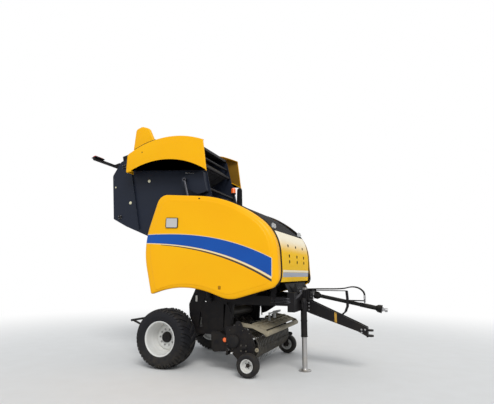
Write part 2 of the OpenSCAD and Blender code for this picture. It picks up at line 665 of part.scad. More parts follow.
// Outside rings, then inside rings: share of the way out from the middle, place across
shield_rings_out = [[1, 0], [1, 0.55], [0.992, 0.76], [0.965, 0.89], [0.90, 0.965], [0.80, 1]];
shield_rings_in = [[0.80, 1], [0.895, 0.96], [0.955, 0.87], [0.978, 0.72], [0.985, 0.50], [0.985, 0]];
shield_deep = hinge_bar_y + 48;
shield_shallow = shield_half - 90;
function rim_depth(p) =
  let (a = atan2(p[1] - shield_mid[1], p[0] - shield_mid[0]),
       k = max(0, min(1, min((a + 32) / 16, (62 - a) / 16))))
  shield_shallow + (shield_deep - shield_shallow) * k;
function shield_ring(edge, share, across, back) =
  [for (p = edge) let (q = shield_mid + (p - shield_mid) * share, y0 = rim_depth(p))
    [q[0], y0 + (shield_half - y0) * across - back, q[1]]];
module shield_skin() {
  edge = rounded(shield_edge, 5);
  n = len(edge);
  rings = [for (r = shield_rings_out) each shield_ring(edge, r[0], r[1], 0),
           for (r = shield_rings_in) each shield_ring(edge, r[0], r[1], r[1] == 0 ? 0 : shield_t)];
  count = len(shield_rings_out) + len(shield_rings_in);
  outs = len(shield_rings_out);
  // From the outer cap out to the rim and back in to the inner cap
  order = [for (i = [outs - 1:-1:0]) i, for (i = [count - 1:-1:outs]) i];
  polyhedron(rings, [
    [for (k = [n - 1:-1:0]) order[0] * n + k],
    for (i = [0:count - 2]) for (k = [0:n - 1])
      let (a = order[i] * n, b = order[i + 1] * n, j = (k + 1) % n) each [[a + k, a + j, b + j], [a + k, b + j, b + k]],
    [for (k = [0:n - 1]) order[count - 1] * n + k]]);
}
module shield(s) {
  color([0.95, 0.70, 0.05]) on_side(s) difference() {
    union() {
      shield_skin();
      for (x = shield_arms) {
        bar(x - 18, x + 18, shield_pin_y - 14, shield_half - 13, shield_pin_z - 14, shield_pin_z + 14);
      }
    }
    for (x = shield_arms)
      translate([x - 30, shield_pin_y, shield_pin_z]) rotate([0, 90, 0]) cylinder(r = shield_pin_r + fit, h = 60);
  }
}

// Front door: a bowed skin with vent holes, hung at its top edge

door_line = [[2050, 2360], [2110, 2240], [2150, 2080], [2168, 1900], [2165, 1700], [2150, 1500]];
vents = [for (z = [2120, 1945, 1845]) for (y = [-520, 0, 520]) [y, z]];
module front_door() {
  color([0.95, 0.72, 0.10]) difference() {
    union() {
      plate([each door_line, for (i = [len(door_line) - 1:-1:0]) door_line[i] - [door_t, 0]], -door_half, door_half);
      for (y = door_hinges) {
        rod(door_pin[0], door_pin[1], door_pin_r + 8, y - 20, y + 20);
        bar(door_pin[0], 2068, y - 20, y + 20, door_pin[1] - 12, door_pin[1] + 6);
      }
    }
    for (v = vents) translate([2080, v[0], v[1]]) rotate([0, 90, 0]) cylinder(r = 26, h = 200);
    for (y = door_hinges) rod(door_pin[0], door_pin[1], door_pin_r + fit, y - 21, y + 21);
  }
}

// Tailgate cylinders: barrel on the chassis, rod to a pin on the tailgate's arm

cyl_foot = [760, 1175];
cyl_pin_r = 20;
function opened_point(p) =
  let (r = p - [hinge_x, hinge_z], c = cos(tailgate_open), s = sin(tailgate_open))
  [hinge_x + c * r[0] + s * r[1], hinge_z - s * r[0] + c * r[1]];
cyl_head = opened_point(gate_pin);
cyl_tilt = atan2(cyl_head[0] - cyl_foot[0], cyl_head[1] - cyl_foot[1]);
cyl_len = norm(cyl_head - cyl_foot);
module at_cylinder(s) {
  translate([cyl_foot[0], s * cyl_y, cyl_foot[1]]) rotate([0, cyl_tilt, 0]) children();
}
module cylinder_barrel(s) {
  color([0.08, 0.08, 0.09]) at_cylinder(s) difference() {
    union() {
      rotate([90, 0, 0]) cylinder(r = 38, h = 44, center = true);
      translate([0, 0, 30]) cylinder(r = 45, h = 1270);
    }
    rotate([90, 0, 0]) cylinder(r = cyl_pin_r + fit, h = 60, center = true);
    translate([0, 0, 110]) cylinder(r = 24 + seat, h = 1300);
  }
}
module cylinder_rod(s) {
  color([0.75, 0.76, 0.78]) at_cylinder(s) {
    translate([0, 0, 1130]) cylinder(r = 24, h = cyl_len - 1130 - 30);
    difference() {
      translate([0, 0, cyl_len]) rotate([90, 0, 0]) cylinder(r = 38, h = 40, center = true);
      translate([0, 0, cyl_len]) rotate([90, 0, 0]) cylinder(r = 20, h = 60, center = true);
    }
  }
}

// Pickup, drawn down at work

pickup_pivot = [1100, 660];
pivot_r = 20;
reel_c = [1500, 420];
side_plate = [
  [1160, 760, 60], [1340, 760, 20], [1360, 850, 30], [1440, 850, 30], [1500, 740, 60],
  [1620, 700, 60], [1700, 480, 80], [1640, 250, 80], [1420, 200, 80], [1200, 420, 80]];
module pickup_frame() {
  color([0.10, 0.10, 0.11]) {
    both() {
      difference() {
        plate(rounded(side_plate), pickup_half, pickup_half + 12);
        rod(reel_c[0], reel_c[1], 30 + fit, pickup_half - 5, pickup_half + 20);
      }
      difference() {
        plate(rounded([[1040, 600, 40], [1040, 720, 40], [1300, 740, 30], [1300, 660, 30]]),
              frame_out + 8, frame_out + 32);
        rod(pickup_pivot[0], pickup_pivot[1], pivot_r + fit, frame_out, frame_out + 40);
      }
      plate([[gauge_x - 50, gauge_z - 40], [gauge_x + 50, gauge_z - 40], [1680, 560], [1580, 560]],
            pickup_half + 12, pickup_half + 30);
      rod(gauge_x, gauge_z, gauge_pin_r, pickup_half + 29, gauge_y + 30);
      rod(1740, 410, 34, pickup_half + 12, pickup_half + 26);
      rod(guard_pin[0], guard_pin[1], guard_pin_r, pickup_half - 54, pickup_half + 1);
      plate([[1620, 378], [1745, 378], [1745, 440], [1640, 460]], pickup_half + 12, pickup_half + 24);
    }
    bar(1240, 1300, -pickup_half - 1, pickup_half + 1, band_bar_z, band_bar_z + 60);
    bar(band_bar_x - 20, band_bar_x, 2 - pickup_half, pickup_half - 2, 290, 350);
    both() bar(band_bar_x - 25, band_bar_x + 5, pickup_half - 20, pickup_half + 1, 290, 680);
  }
}
band_count = 2 * floor((pickup_half - 60) / band_pitch) + 1;
band_bar_x = 1200;
band_bar_z = 662;
module band_tail(a, reach) {
  rotate(a) polygon([[band_r - 2, -6], [band_r - 2, -2], [reach, -2], [reach, -6]]);
}
module stripper_bands() {
  color([0.33, 0.34, 0.35])
    for (i = [0:band_count - 1])
      translate([reel_c[0], (i - (band_count - 1) / 2) * band_pitch + band_w / 2, reel_c[1]]) rotate([90, 0, 0])
        linear_extrude(band_w) {
          difference() {
            circle(r = band_r);
            circle(r = band_r - 4);
            polygon([[0, 0], [-400, 400], [-700, 0], [-564, -205]]);
          }
          band_tail(135, (band_bar_z - reel_c[1] - seat) * sqrt(2) - 6);
          mirror([0, 1]) band_tail(160, (reel_c[0] - band_bar_x - seat) / cos(20) + 0.7);
        }
}
reel_bar_r = 150;
module pickup_reel() {
  color([0.35, 0.35, 0.36]) translate([reel_c[0], 0, reel_c[1]]) {
    rod(0, 0, 40, 6 - pickup_half, pickup_half - 6);
    both() rod(0, 0, 30, pickup_half - 7, pickup_half + 11);
    both() rod(0, 0, 175, pickup_half - 22, pickup_half - 8);
    for (k = [0:tine_bars - 1]) rotate([0, 360 * k / tine_bars, 0]) {
      rod(reel_bar_r, 0, 15, 10 - pickup_half, pickup_half - 10);
      for (i = [0:band_count - 2])
        translate([reel_bar_r, (i - (band_count - 2) / 2) * band_pitch, 0]) rotate([0, 98, 0])
          cylinder(r = 4, h = tine_tip_r - reel_bar_r);
    }
  }
}
guard_pin = [1400, 790];
guard_pin_r = 12;
module windguard() {
  color([0.55, 0.55, 0.52]) {
    rod(1880, 660, 42, 45 - pickup_half, pickup_half - 45);
    both() difference() {
      plate(rounded([
        [1360, 760, 30], [1360, 830, 30], [1640, 800, 30], [1900, 710, 30], [1880, 640, 30], [1640, 740, 30]]),
            pickup_half - 50, pickup_half - 36);
      rod(guard_pin[0], guard_pin[1], guard_pin_r + fit, pickup_half - 60, pickup_half - 20);
    }
    plate([[1640, 776], [1780, 730], [1782, 738], [1642, 784]], 45 - pickup_half, pickup_half - 45);
  }
}

// Bale ramp behind the wheels

ramp_pivot = [-110, 340];
ramp_half = 560;
ramp_r = 22;
ramp_end = [-1100, 715];
module bale_ramp() {
  color([0.12, 0.12, 0.12]) {
    rod(ramp_pivot[0], ramp_pivot[1], ramp_r, -ramp_half - 30, ramp_half + 30);
    both() strut([ramp_pivot[0], ramp_half - 50, ramp_pivot[1]], [ramp_end[0], ramp_half - 50, ramp_end[1]], 20);
    rod(ramp_end[0], ramp_end[1], ramp_r, -ramp_half, ramp_half);
  }
}

placed() main_frame();
placed() side_panels();
placed() shield_rails();
placed() axle_beam();
placed() chamber_wall(-1);  // chamber_wall_right
placed() chamber_wall(1);  // chamber_wall_left
placed() front_rolls();
placed() front_belts();
placed() feed_rotor();
placed() top_deck();
placed() gearbox();
placed() tongue();
placed() hose_mast();
placed() hoses();
placed() jack_tube();
placed() jack_leg();
placed() amber_lamps();
placed() pto_shaft();
placed() main_tyre(-1);  // tyre_right
placed() main_rim(-1);  // rim_right
placed() main_tyre(1);  // tyre_left
placed() main_rim(1);  // rim_left
placed() tailgate_wall(-1);  // tailgate_wall_right
placed() tailgate_wall(1);  // tailgate_wall_left
placed() tailgate_frame();
placed() tailgate_rolls();
placed() tailgate_belts();
placed() tailgate_cover(-1);  // tailgate_cover_right
placed() tailgate_cover(1);  // tailgate_cover_left
placed() net_box();
placed() net_hood();
placed() light_bar();
placed() tail_lamps();
placed() shield(-1);  // shield_right
placed() shield(1);  // shield_left
placed() front_door();
placed() cylinder_barrel(-1);  // cylinder_right
placed() cylinder_rod(-1);  // rod_right
placed() cylinder_barrel(1);  // cylinder_left
placed() cylinder_rod(1);  // rod_left
placed() pickup_frame();
placed() stripper_bands();
placed() pickup_reel();
placed() windguard();
placed() gauge_tyre(-1);  // gauge_tyre_right
placed() gauge_rim(-1);  // gauge_rim_right
placed() gauge_tyre(1);  // gauge_tyre_left
placed() gauge_rim(1);  // gauge_rim_left
placed() bale_ramp();
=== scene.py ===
import json
import math
import bpy
import bmesh
import numpy as np
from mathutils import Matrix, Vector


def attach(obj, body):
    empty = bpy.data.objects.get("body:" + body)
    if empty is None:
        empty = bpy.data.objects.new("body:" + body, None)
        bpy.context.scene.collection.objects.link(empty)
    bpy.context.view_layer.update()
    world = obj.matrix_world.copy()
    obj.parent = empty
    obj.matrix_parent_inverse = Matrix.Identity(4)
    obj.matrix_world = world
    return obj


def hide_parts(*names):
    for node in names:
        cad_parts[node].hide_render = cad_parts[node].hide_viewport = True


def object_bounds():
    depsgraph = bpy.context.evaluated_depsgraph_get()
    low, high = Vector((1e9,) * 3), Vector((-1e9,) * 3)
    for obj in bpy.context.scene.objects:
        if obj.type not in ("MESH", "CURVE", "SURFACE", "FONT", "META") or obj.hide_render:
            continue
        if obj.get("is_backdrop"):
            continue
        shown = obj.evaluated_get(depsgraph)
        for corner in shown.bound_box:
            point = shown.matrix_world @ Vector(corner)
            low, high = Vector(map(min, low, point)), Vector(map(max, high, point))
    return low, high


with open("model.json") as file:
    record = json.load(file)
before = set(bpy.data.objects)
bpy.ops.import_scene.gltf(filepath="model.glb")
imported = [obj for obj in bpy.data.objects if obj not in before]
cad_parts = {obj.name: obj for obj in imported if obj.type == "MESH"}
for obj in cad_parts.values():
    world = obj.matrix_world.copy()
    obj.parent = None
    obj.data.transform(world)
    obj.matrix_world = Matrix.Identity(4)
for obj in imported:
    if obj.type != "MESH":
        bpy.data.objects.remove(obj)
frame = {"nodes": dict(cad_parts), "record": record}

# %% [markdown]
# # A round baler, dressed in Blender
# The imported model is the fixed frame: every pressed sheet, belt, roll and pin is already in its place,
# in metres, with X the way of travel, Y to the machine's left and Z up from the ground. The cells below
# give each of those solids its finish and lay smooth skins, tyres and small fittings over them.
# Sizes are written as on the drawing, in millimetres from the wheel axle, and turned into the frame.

nodes = frame["nodes"]
link = bpy.context.scene.collection.objects.link
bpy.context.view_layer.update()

# %% [markdown]
# ## Camera
# The photograph looks at the right side from ahead, from a little under eye height and 7.5 m off.
# A fixed lens and place, found from the wheels, the drawbar and the raised tailgate, repeat that view.

# %% Camera at the photograph's angle
CAMERA_AT, CAMERA_TURN = (3.1986, -7.5219, 1.6323), (100.0445, -0.19, 21.6)
camera = bpy.data.objects.new("camera", bpy.data.cameras.new("camera"))
camera.data.sensor_width = 36.0
camera.data.lens = 29.575
camera.location = CAMERA_AT
camera.rotation_euler = [math.radians(a) for a in CAMERA_TURN]
link(camera)
bpy.context.scene.camera = camera
print("camera lens", camera.data.lens, "mm")

# %% [markdown]
# ## Node helpers
# A material is a small graph. One helper adds a node and wires it, and short ones serve the steps that
# come back most: a mix, a sum, a change of range, a noise. A screen colour is made linear for the shaders.

# %% Helpers for building node graphs
def screen(r, g, b):
    """A screen colour from 0 to 255, made linear: the low end divided, the rest raised to 2.4."""
    c = np.array([r, g, b]) / 255.0
    c = np.where(c <= 0.04045, c / 12.92, ((c + 0.055) / 1.055) ** 2.4)
    return (*c.tolist(), 1.0)


def add(tree, kind, settings=None, wires=None):
    """Adds a shader node, sets its options, and links or sets each named input."""
    n = tree.nodes.new("ShaderNode" + kind)
    for key, value in (settings or {}).items():
        setattr(n, key, value)
    for key, value in (wires or {}).items():
        if isinstance(value, bpy.types.NodeSocket):
            tree.links.new(value, n.inputs[key])
        else:
            n.inputs[key].default_value = value
    return n


def mix(tree, share, a, b):
    """A colour between a and b."""
    return add(tree, "Mix", {"data_type": "RGBA"}, {0: share, 6: a, 7: b}).outputs[2]


def maths(tree, operation, a, b=0.0, clamp=False):
    """One step of arithmetic on values."""
    return add(tree, "Math", {"operation": operation, "use_clamp": clamp}, {0: a, 1: b}).outputs[0]


def times(tree, a, b, clamp=False):
    """One value times another."""
    return maths(tree, "MULTIPLY", a, b, clamp)


def plus(tree, a, b, clamp=False):
    """Two values added."""
    return maths(tree, "ADD", a, b, clamp)


def remap(tree, value, low, high, end=1.0, kind="LINEAR"):
    """Zero where a value is at low, end where it is at high, and held beyond both."""
    return add(tree, "MapRange", {"interpolation_type": kind},
               {"Value": value, 1: low, 2: high, 3: 0.0, 4: end}).outputs[0]


def here(tree):
    """The piece's own coordinates, which are the frame's, in metres."""
    return add(tree, "TexCoord").outputs["Object"]


def upward(tree, vector):
    """A vector's part along Z."""
    return add(tree, "SeparateXYZ", wires={0: vector}).outputs[2]


def noise(tree, scale, detail, roughness=0.5):
    """Soft noise laid out in the piece's own coordinates."""
    return add(tree, "TexNoise", wires={"Vector": here(tree), "Scale": scale, "Detail": detail,
                                        "Roughness": roughness}).outputs[0]


def seen(tree):
    """One for a ray from the camera or from a mirror or lens, zero for the light that falls on things."""
    path = add(tree, "LightPath").outputs
    through = plus(tree, path["Is Glossy Ray"], path["Is Transmission Ray"])
    return plus(tree, path["Is Camera Ray"], through, clamp=True)


print("helpers ready; a mid grey is", [round(x, 3) for x in screen(128, 128, 128)])

# %% [markdown]
# ## Floor, backdrop and light
# A plain pale floor that fades to white far off, an even white surround, and one broad soft lamp from
# the camera's side. The floor keeps the machine's shadow; the white comes from colour, not from light.

# %% Floor, surround and lamp
FLOOR_HALF, FADE_FROM, FADE_TO = 60, 4.5, 13.0
world = bpy.data.worlds.new("surround")
bpy.context.scene.world = world
world.use_nodes = True
tree = world.node_tree
tree.nodes.clear()
even_light = add(tree, "Background", wires={"Color": screen(236, 241, 248), "Strength": 0.62})
white = add(tree, "Background", wires={"Color": (1, 1, 1, 1), "Strength": 1.0})
surround = add(tree, "MixShader", wires={0: seen(tree), 1: even_light.outputs[0], 2: white.outputs[0]})
tree.links.new(surround.outputs[0], add(tree, "OutputWorld").inputs[0])

floor_mesh = bpy.data.meshes.new("floor")
corners = [(x * FLOOR_HALF, y * FLOOR_HALF, 0) for x, y in ((-1, -1), (1, -1), (1, 1), (-1, 1))]
floor_mesh.from_pydata(corners, [], [(0, 1, 2, 3)])
floor = bpy.data.objects.new("floor", floor_mesh)
link(floor)
floor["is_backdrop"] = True
pale = bpy.data.materials.new("pale_floor")
pale.use_nodes = True
tree = pale.node_tree
tree.nodes.clear()
away = add(tree, "VectorMath", {"operation": "LENGTH"}, {0: here(tree)}).outputs["Value"]
fade = remap(tree, away, FADE_FROM, FADE_TO, kind="SMOOTHSTEP")
floor_colour = mix(tree, noise(tree, 3.0, 4.0), screen(222, 221, 218), screen(228, 228, 226))
ground = add(tree, "BsdfPrincipled", wires={"Base Color": floor_colour, "Roughness": 0.9})
far = add(tree, "Emission", wires={"Color": (1, 1, 1, 1), "Strength": 1.0})
far_off = times(tree, fade, seen(tree))
blend = add(tree, "MixShader", wires={0: far_off, 1: ground.outputs[0], 2: far.outputs[0]})
tree.links.new(blend.outputs[0], add(tree, "OutputMaterial").inputs[0])
floor_mesh.materials.append(pale)

lamp = bpy.data.objects.new("soft_lamp", bpy.data.lights.new("soft_lamp", "SUN"))
lamp.data.energy = 1.75
lamp.data.angle = math.radians(28)
lamp.rotation_euler = (math.radians(46), math.radians(8), math.radians(24))
link(lamp)
bpy.context.scene.view_settings.view_transform = "Standard"
print("stage: floor, white surround, one soft lamp of", lamp.data.energy)

# %% [markdown]
# ## Shared effects
# A farm machine is never one flat colour. Four effects come back in every finish, so each is a group:
# worn edges, where the rounded normal parts from the true one; chaff and dust, which lie on what faces
# up and on what hangs low; broad blotches in the colour; and the fine grain of paint, rubber or casting.

# %% Groups for wear, dust, blotches and grain
def group(name, output, **inputs):
    """An empty shader group of number inputs: its tree, the inputs, and the socket of its output."""
    g = bpy.data.node_groups.new(name, "ShaderNodeTree")
    for key, value in inputs.items():
        g.interface.new_socket(key, in_out="INPUT", socket_type="NodeSocketFloat").default_value = value
    g.interface.new_socket(output, in_out="OUTPUT", socket_type="NodeSocketFloat")
    return g, g.nodes.new("NodeGroupInput").outputs, g.nodes.new("NodeGroupOutput").inputs[output]


tree, given, out = group("worn_edges", "Mask", Width=0.004, Amount=0.5, Scale=30.0)
round_n = add(tree, "Bevel", {"samples": 4}, {"Radius": given["Width"]}).outputs[0]
true_n = add(tree, "NewGeometry").outputs["Normal"]
turn = add(tree, "VectorMath", {"operation": "DOT_PRODUCT"}, {0: round_n, 1: true_n}).outputs["Value"]
torn = remap(tree, noise(tree, given["Scale"], 5.0), 0.42, 0.62)
worn = times(tree, times(tree, maths(tree, "SUBTRACT", 1.0, turn), 7.0), torn)
tree.links.new(times(tree, worn, given["Amount"], clamp=True), out)

tree, given, out = group("chaff_dust", "Mask", Amount=0.4, Top=1.2, Scale=6.0)
low = remap(tree, upward(tree, here(tree)), given["Top"], 0.1)
up = remap(tree, upward(tree, add(tree, "NewGeometry").outputs["Normal"]), 0.35, 0.95)
drift = remap(tree, noise(tree, given["Scale"], 6.0, 0.65), 0.35, 0.75)
lying = times(tree, plus(tree, times(tree, up, 0.8), times(tree, low, 0.75)), drift)
tree.links.new(times(tree, lying, given["Amount"], clamp=True), out)

tree, given, out = group("blotches", "Mask", Scale=2.0, Contrast=1.0)
cloud = maths(tree, "SUBTRACT", noise(tree, given["Scale"], 4.0), 0.5)
tree.links.new(plus(tree, times(tree, cloud, given["Contrast"]), 0.5, clamp=True), out)

tree, given, out = group("grain", "Height", Scale=200.0, Pits=0.3)
pits = add(tree, "TexVoronoi", wires={"Vector": here(tree), "Scale": given["Scale"]}).outputs["Distance"]
tree.links.new(plus(tree, noise(tree, given["Scale"], 3.0), times(tree, pits, given["Pits"])), out)
print("groups:", [g.name for g in bpy.data.node_groups])

# %% [markdown]
# ## Recipes for finishes
# One recipe serves every paint, rubber and bare metal: two shades that drift into each other, dust over
# them, worn edges over that, roughness that rises with the dust, and a fine bump. A second one serves
# lenses. A moulded lens scatters light, but full glass would be slow and dark at this size, so a coloured,
# clear-coated shader with a little light of its own gives the same glow.

# %% The recipes
STRAW = screen(176, 160, 124)


def blank(name):
    """A new material; also its tree and its shader's inputs."""
    m = bpy.data.materials.new(name)
    m.use_nodes = True
    return m, m.node_tree, m.node_tree.nodes["Principled BSDF"].inputs


def uses(tree, shared, **inputs):
    """Places a shared group in a tree and sets its inputs."""
    n = tree.nodes.new("ShaderNodeGroup")
    n.node_tree = bpy.data.node_groups[shared]
    for key, value in inputs.items():
        n.inputs[key].default_value = value
    return n.outputs[0]


def bumps(tree, shader, height, strength):
    """Lets a height raise the shader's surface by up to 2 mm times the strength."""
    bump = add(tree, "Bump", wires={"Height": height, "Strength": strength, "Distance": 0.002})
    tree.links.new(bump.outputs[0], shader["Normal"])


def finish(name, slot, light, dark, rough, metallic=0.0, coat=0.0, blotch=(1.6, 1.4), dust=(0.35, 1.1, 6.0),
           wear=(0.35, 0.003, (0.32, 0.32, 0.33, 1.0)), grain=(260.0, 0.3, 0.12), shine=0.5):
    """Blotched colour, then dust, then bare edges; a colour of three parts is a screen colour.

    blotch: scale, contrast. dust: amount, top in metres, scale. wear: amount, width, colour.
    grain: scale, pits, strength. Roughness and bump follow the same masks as the colour.
    """
    m, tree, shader = blank(name)
    light, dark, under = (c if len(c) == 4 else screen(*c) for c in (light, dark, wear[2]))
    patch = uses(tree, "blotches", Scale=blotch[0], Contrast=blotch[1])
    chaff = uses(tree, "chaff_dust", Amount=dust[0], Top=dust[1], Scale=dust[2])
    bare = uses(tree, "worn_edges", Amount=wear[0], Width=wear[1], Scale=45.0)
    colour = mix(tree, chaff, mix(tree, patch, dark, light), STRAW)
    tree.links.new(mix(tree, bare, colour, under), shader["Base Color"])
    matt = plus(tree, times(tree, chaff, 0.45), times(tree, patch, 0.08))
    tree.links.new(plus(tree, matt, rough, clamp=True), shader["Roughness"])
    shader["Metallic"].default_value = metallic
    shader["Specular IOR Level"].default_value = shine
    if coat:
        shader["Coat Weight"].default_value = coat
        shader["Coat Roughness"].default_value = 0.12
    bumps(tree, shader, uses(tree, "grain", Scale=grain[0], Pits=grain[1]), grain[2])
    return m


def lens(name, light, dark, glow):
    """A clear-coated colour with fine moulded ribs, lit a little from inside."""
    m, tree, shader = blank(name)
    ribs = add(tree, "TexWave", {"bands_direction": "Z"}, {"Vector": here(tree), "Scale": 55.0, "Distortion": 0.4})
    colour = mix(tree, uses(tree, "blotches", Scale=25.0, Contrast=1.6), screen(*dark), screen(*light))
    tree.links.new(colour, shader["Base Color"])
    tree.links.new(colour, shader["Emission Color"])
    for key, value in {"Emission Strength": glow, "Roughness": 0.18, "Coat Weight": 0.6}.items():
        shader[key].default_value = value
    bumps(tree, shader, ribs.outputs[0], 0.25)
    return m


print("recipes ready")

# %% [markdown]
# ## Paints
# The numbers make the finish. Gloss paint is smooth with little dust on it, satin and matt black are
# rougher, and a casting has coarse grain.

# %% Paints
GLOSS = {"grain": (420.0, 0.1, 0.03)}
yellow = finish("yellow_gloss", "yellow_paint", (255, 190, 0), (252, 176, 0), 0.38, coat=0.04, shine=0.18,
                blotch=(0.9, 1.2), dust=(0.05, 1.3, 4.0), wear=(0.10, 0.003, (200, 150, 60)), **GLOSS)
# The door's yellow; its material later gets a painted highlight towards the top.
yellow_with_highlight = finish("door_yellow_with_highlight", "yellow_paint", (255, 204, 22), (250, 192, 10), 0.55, shine=0.12,
               blotch=(2.2, 1.0), dust=(0.05, 1.3, 4.0), wear=(0.10, 0.003, (200, 150, 60)), **GLOSS)
# A darker yellow that is painted shade, laid as a sheet just inside the gate covers.
shaded = finish("cover_inside", "yellow_paint", (150, 108, 26), (118, 84, 20), 0.6, shine=0.15,
                dust=(0.1, 1.3, 4.0), wear=(0.1, 0.003, (120, 90, 40)), **GLOSS)
# A darker orange for the latch: painted shade of its recess.
latch_painted_shade = finish("latch_painted_shade", "yellow_paint", (190, 132, 10), (160, 108, 8), 0.5, shine=0.2,
                    dust=(0.1, 1.3, 4.0), wear=(0.3, 0.003, (120, 90, 40)), **GLOSS)
black = finish("black_satin", "black_paint", (20, 18, 22), (11, 10, 13), 0.5, shine=0.2,
               dust=(0.07, 1.4, 7.0), wear=(0.3, 0.003, (84, 84, 88)), grain=(300.0, 0.2, 0.08))
deck = finish("black_deck", "black_paint", (24, 24, 26), (15, 15, 17), 0.75, shine=0.14, dust=(0.04, 1.4, 5.0))
dark = finish("black_matt", "black_paint", (27, 27, 30), (17, 17, 19), 0.7, shine=0.2,
              dust=(0.05, 1.4, 6.0), wear=(0.15, 0.002, (70, 70, 72)), grain=(300.0, 0.3, 0.08))
cast = finish("gearbox_casting", "black_paint", (36, 35, 38), (22, 22, 24), 0.62, shine=0.3,
              dust=(0.12, 1.4, 9.0), wear=(0.4, 0.003, (90, 90, 92)), grain=(220.0, 0.6, 0.3))
slate = finish("gate_blue_black", "gate_paint", (27, 34, 49), (18, 24, 37), 0.55, shine=0.25,
               dust=(0.05, 1.2, 5.0), wear=(0.3, 0.003, (110, 114, 122)), grain=(260.0, 0.2, 0.08))
white_paint = finish("wheel_white", "white_paint", (222, 222, 219), (206, 206, 203), 0.36, coat=0.2,
                     dust=(0.22, 1.0, 9.0), wear=(0.2, 0.003, (120, 110, 100)))
dusty = finish("dusty_grey", "grey_paint", (160, 152, 132), (128, 120, 104), 0.55,
               dust=(0.8, 1.4, 9.0), wear=(0.5, 0.003, (170, 168, 160)))
straw_grey = finish("dusty_beige", "grey_paint", (158, 150, 130), (122, 114, 98), 0.6, shine=0.3,
                    dust=(0.5, 1.4, 9.0), wear=(0.6, 0.003, (176, 172, 160)))

# %% [markdown]
# ## Metals, rubbers, films and lenses
# Steel and chrome are metallic; steel has worn edges and a chromed rod none. Rubber is rough with deep
# grain. A film lies smooth on the paint and has no worn edges. The lenses come last.

# %% Metals, rubbers, films and lenses
NO_WEAR = (0.0, 0.002, (0.5, 0.5, 0.5, 1))
FILM = {"wear": NO_WEAR, "grain": (500.0, 0.1, 0.02)}
steel = finish("worn_steel", "steel", (0.44, 0.44, 0.45, 1), (0.34, 0.34, 0.35, 1), 0.34, metallic=0.9,
               dust=(0.5, 1.2, 8.0), grain=(500.0, 0.1, 0.06))
chrome = finish("rod_dark_chrome", "steel", (0.10, 0.10, 0.11, 1), (0.06, 0.06, 0.07, 1), 0.3, metallic=1.0,
                dust=(0.2, 1.0, 6.0), wear=NO_WEAR, grain=(600.0, 0.0, 0.02))
roll_steel = finish("roll_steel", "steel", (78, 76, 76), (46, 45, 46), 0.45, metallic=0.5,
                    dust=(0.4, 1.4, 9.0), wear=(0.5, 0.003, (130, 128, 124)), grain=(400.0, 0.2, 0.08))
spring = finish("tine_spring", "steel", (64, 62, 60), (40, 39, 38), 0.42, metallic=0.5,
                dust=(0.3, 1.0, 14.0), wear=(0.6, 0.003, (150, 146, 140)), grain=(500.0, 0.1, 0.05))
pressed = finish("band_paint", "steel", (46, 45, 44), (27, 27, 27), 0.5, shine=0.35,
                 dust=(0.3, 1.0, 12.0), wear=(0.7, 0.004, (140, 136, 128)), grain=(300.0, 0.2, 0.06))
plate_grey = finish("plate_silver", "steel", (206, 204, 200), (186, 185, 184), 0.38, metallic=0.25,
                    dust=(0.1, 1.3, 5.0), wear=(0.2, 0.002, (120, 120, 120)), grain=(500.0, 0.1, 0.04))
tyre_rubber = finish("tyre_rubber", "tyre_rubber", (30, 30, 34), (20, 20, 23), 0.7, shine=0.25,
                     dust=(0.1, 0.5, 11.0), wear=(0.12, 0.004, (80, 78, 74)), grain=(180.0, 0.5, 0.22))
belt_rubber = finish("belt_rubber", "belt_rubber", (40, 40, 42), (28, 28, 30), 0.66,
                     dust=(0.4, 1.4, 8.0), wear=(0.2, 0.003, (80, 78, 72)), grain=(90.0, 0.9, 0.5))
hose_rubber = finish("hose_rubber", "belt_rubber", (22, 21, 22), (14, 14, 15), 0.6, shine=0.2,
                     dust=(0.12, 1.4, 14.0), wear=NO_WEAR, grain=(700.0, 0.3, 0.15))
blue = finish("stripe_blue", "yellow_paint", (14, 84, 172), (8, 72, 158), 0.36, shine=0.25,
              dust=(0.04, 1.3, 5.0), **FILM)
ivory = finish("stripe_ivory", "yellow_paint", (245, 232, 190), (238, 220, 170), 0.36, coat=0.2,
               dust=(0.1, 1.3, 5.0), **FILM)
pine = finish("stripe_dark", "yellow_paint", (34, 44, 40), (26, 34, 34), 0.4, coat=0.2,
              dust=(0.1, 1.3, 5.0), **FILM)
band_grey = finish("door_band_grey", "yellow_paint", (150, 158, 172), (128, 138, 156), 0.4, coat=0.2,
                   dust=(0.1, 1.3, 5.0), **FILM)
band_gold = finish("hazard_band", "yellow_paint", (206, 160, 62), (176, 132, 52), 0.5, shine=0.3,
                   dust=(0.2, 1.3, 12.0), wear=NO_WEAR, grain=(500.0, 0.2, 0.05))
amber = lens("amber_lens", (250, 120, 40), (235, 90, 25), 0.25)
red = lens("red_lens", (190, 30, 26), (150, 18, 18), 0.12)
pale_lens = lens("pale_lens", (226, 220, 186), (206, 200, 166), 0.05)
marker_lens = lens("upright_lens", (214, 210, 200), (190, 186, 178), 0.02)

# %% [markdown]
# ## Which node wears which finish
# The record names one finish for each node, so the same list paints the solids that stay as they are.
# A few nodes get a finish of their own, nearer to what the photograph shows.

# %% Paint the CAD nodes
PAINTS = {"yellow_paint": yellow, "black_paint": black, "gate_paint": slate, "white_paint": white_paint,
          "grey_paint": dusty, "steel": steel, "chrome": chrome, "tyre_rubber": tyre_rubber,
          "belt_rubber": belt_rubber, "amber_lens": amber, "red_lens": red}
for part in frame["record"]["subparts"]:
    o = nodes[part["node"]]
    o.data.materials.clear()
    o.data.materials.append(PAINTS[part["material_slot"]])
for n, m in (("top_deck", deck), ("hoses", hose_rubber), ("stripper_bands", dark), ("net_box", dark),
             ("front_rolls", roll_steel), ("tailgate_rolls", roll_steel), ("feed_rotor", roll_steel)):
    nodes[n].data.materials[0] = m

# %% [markdown]
# ## Surfaces from arrays
# Every new piece but the hoses is worked out as arrays of points: a grid that a function of two
# parameters fills, a profile turned round an axle, a ring carried along a path, or an outline with rounded
# corners given a thickness. A shape is a pair of points and faces, so shapes can be joined, mirrored,
# repeated and turned before one mesh is made of them.

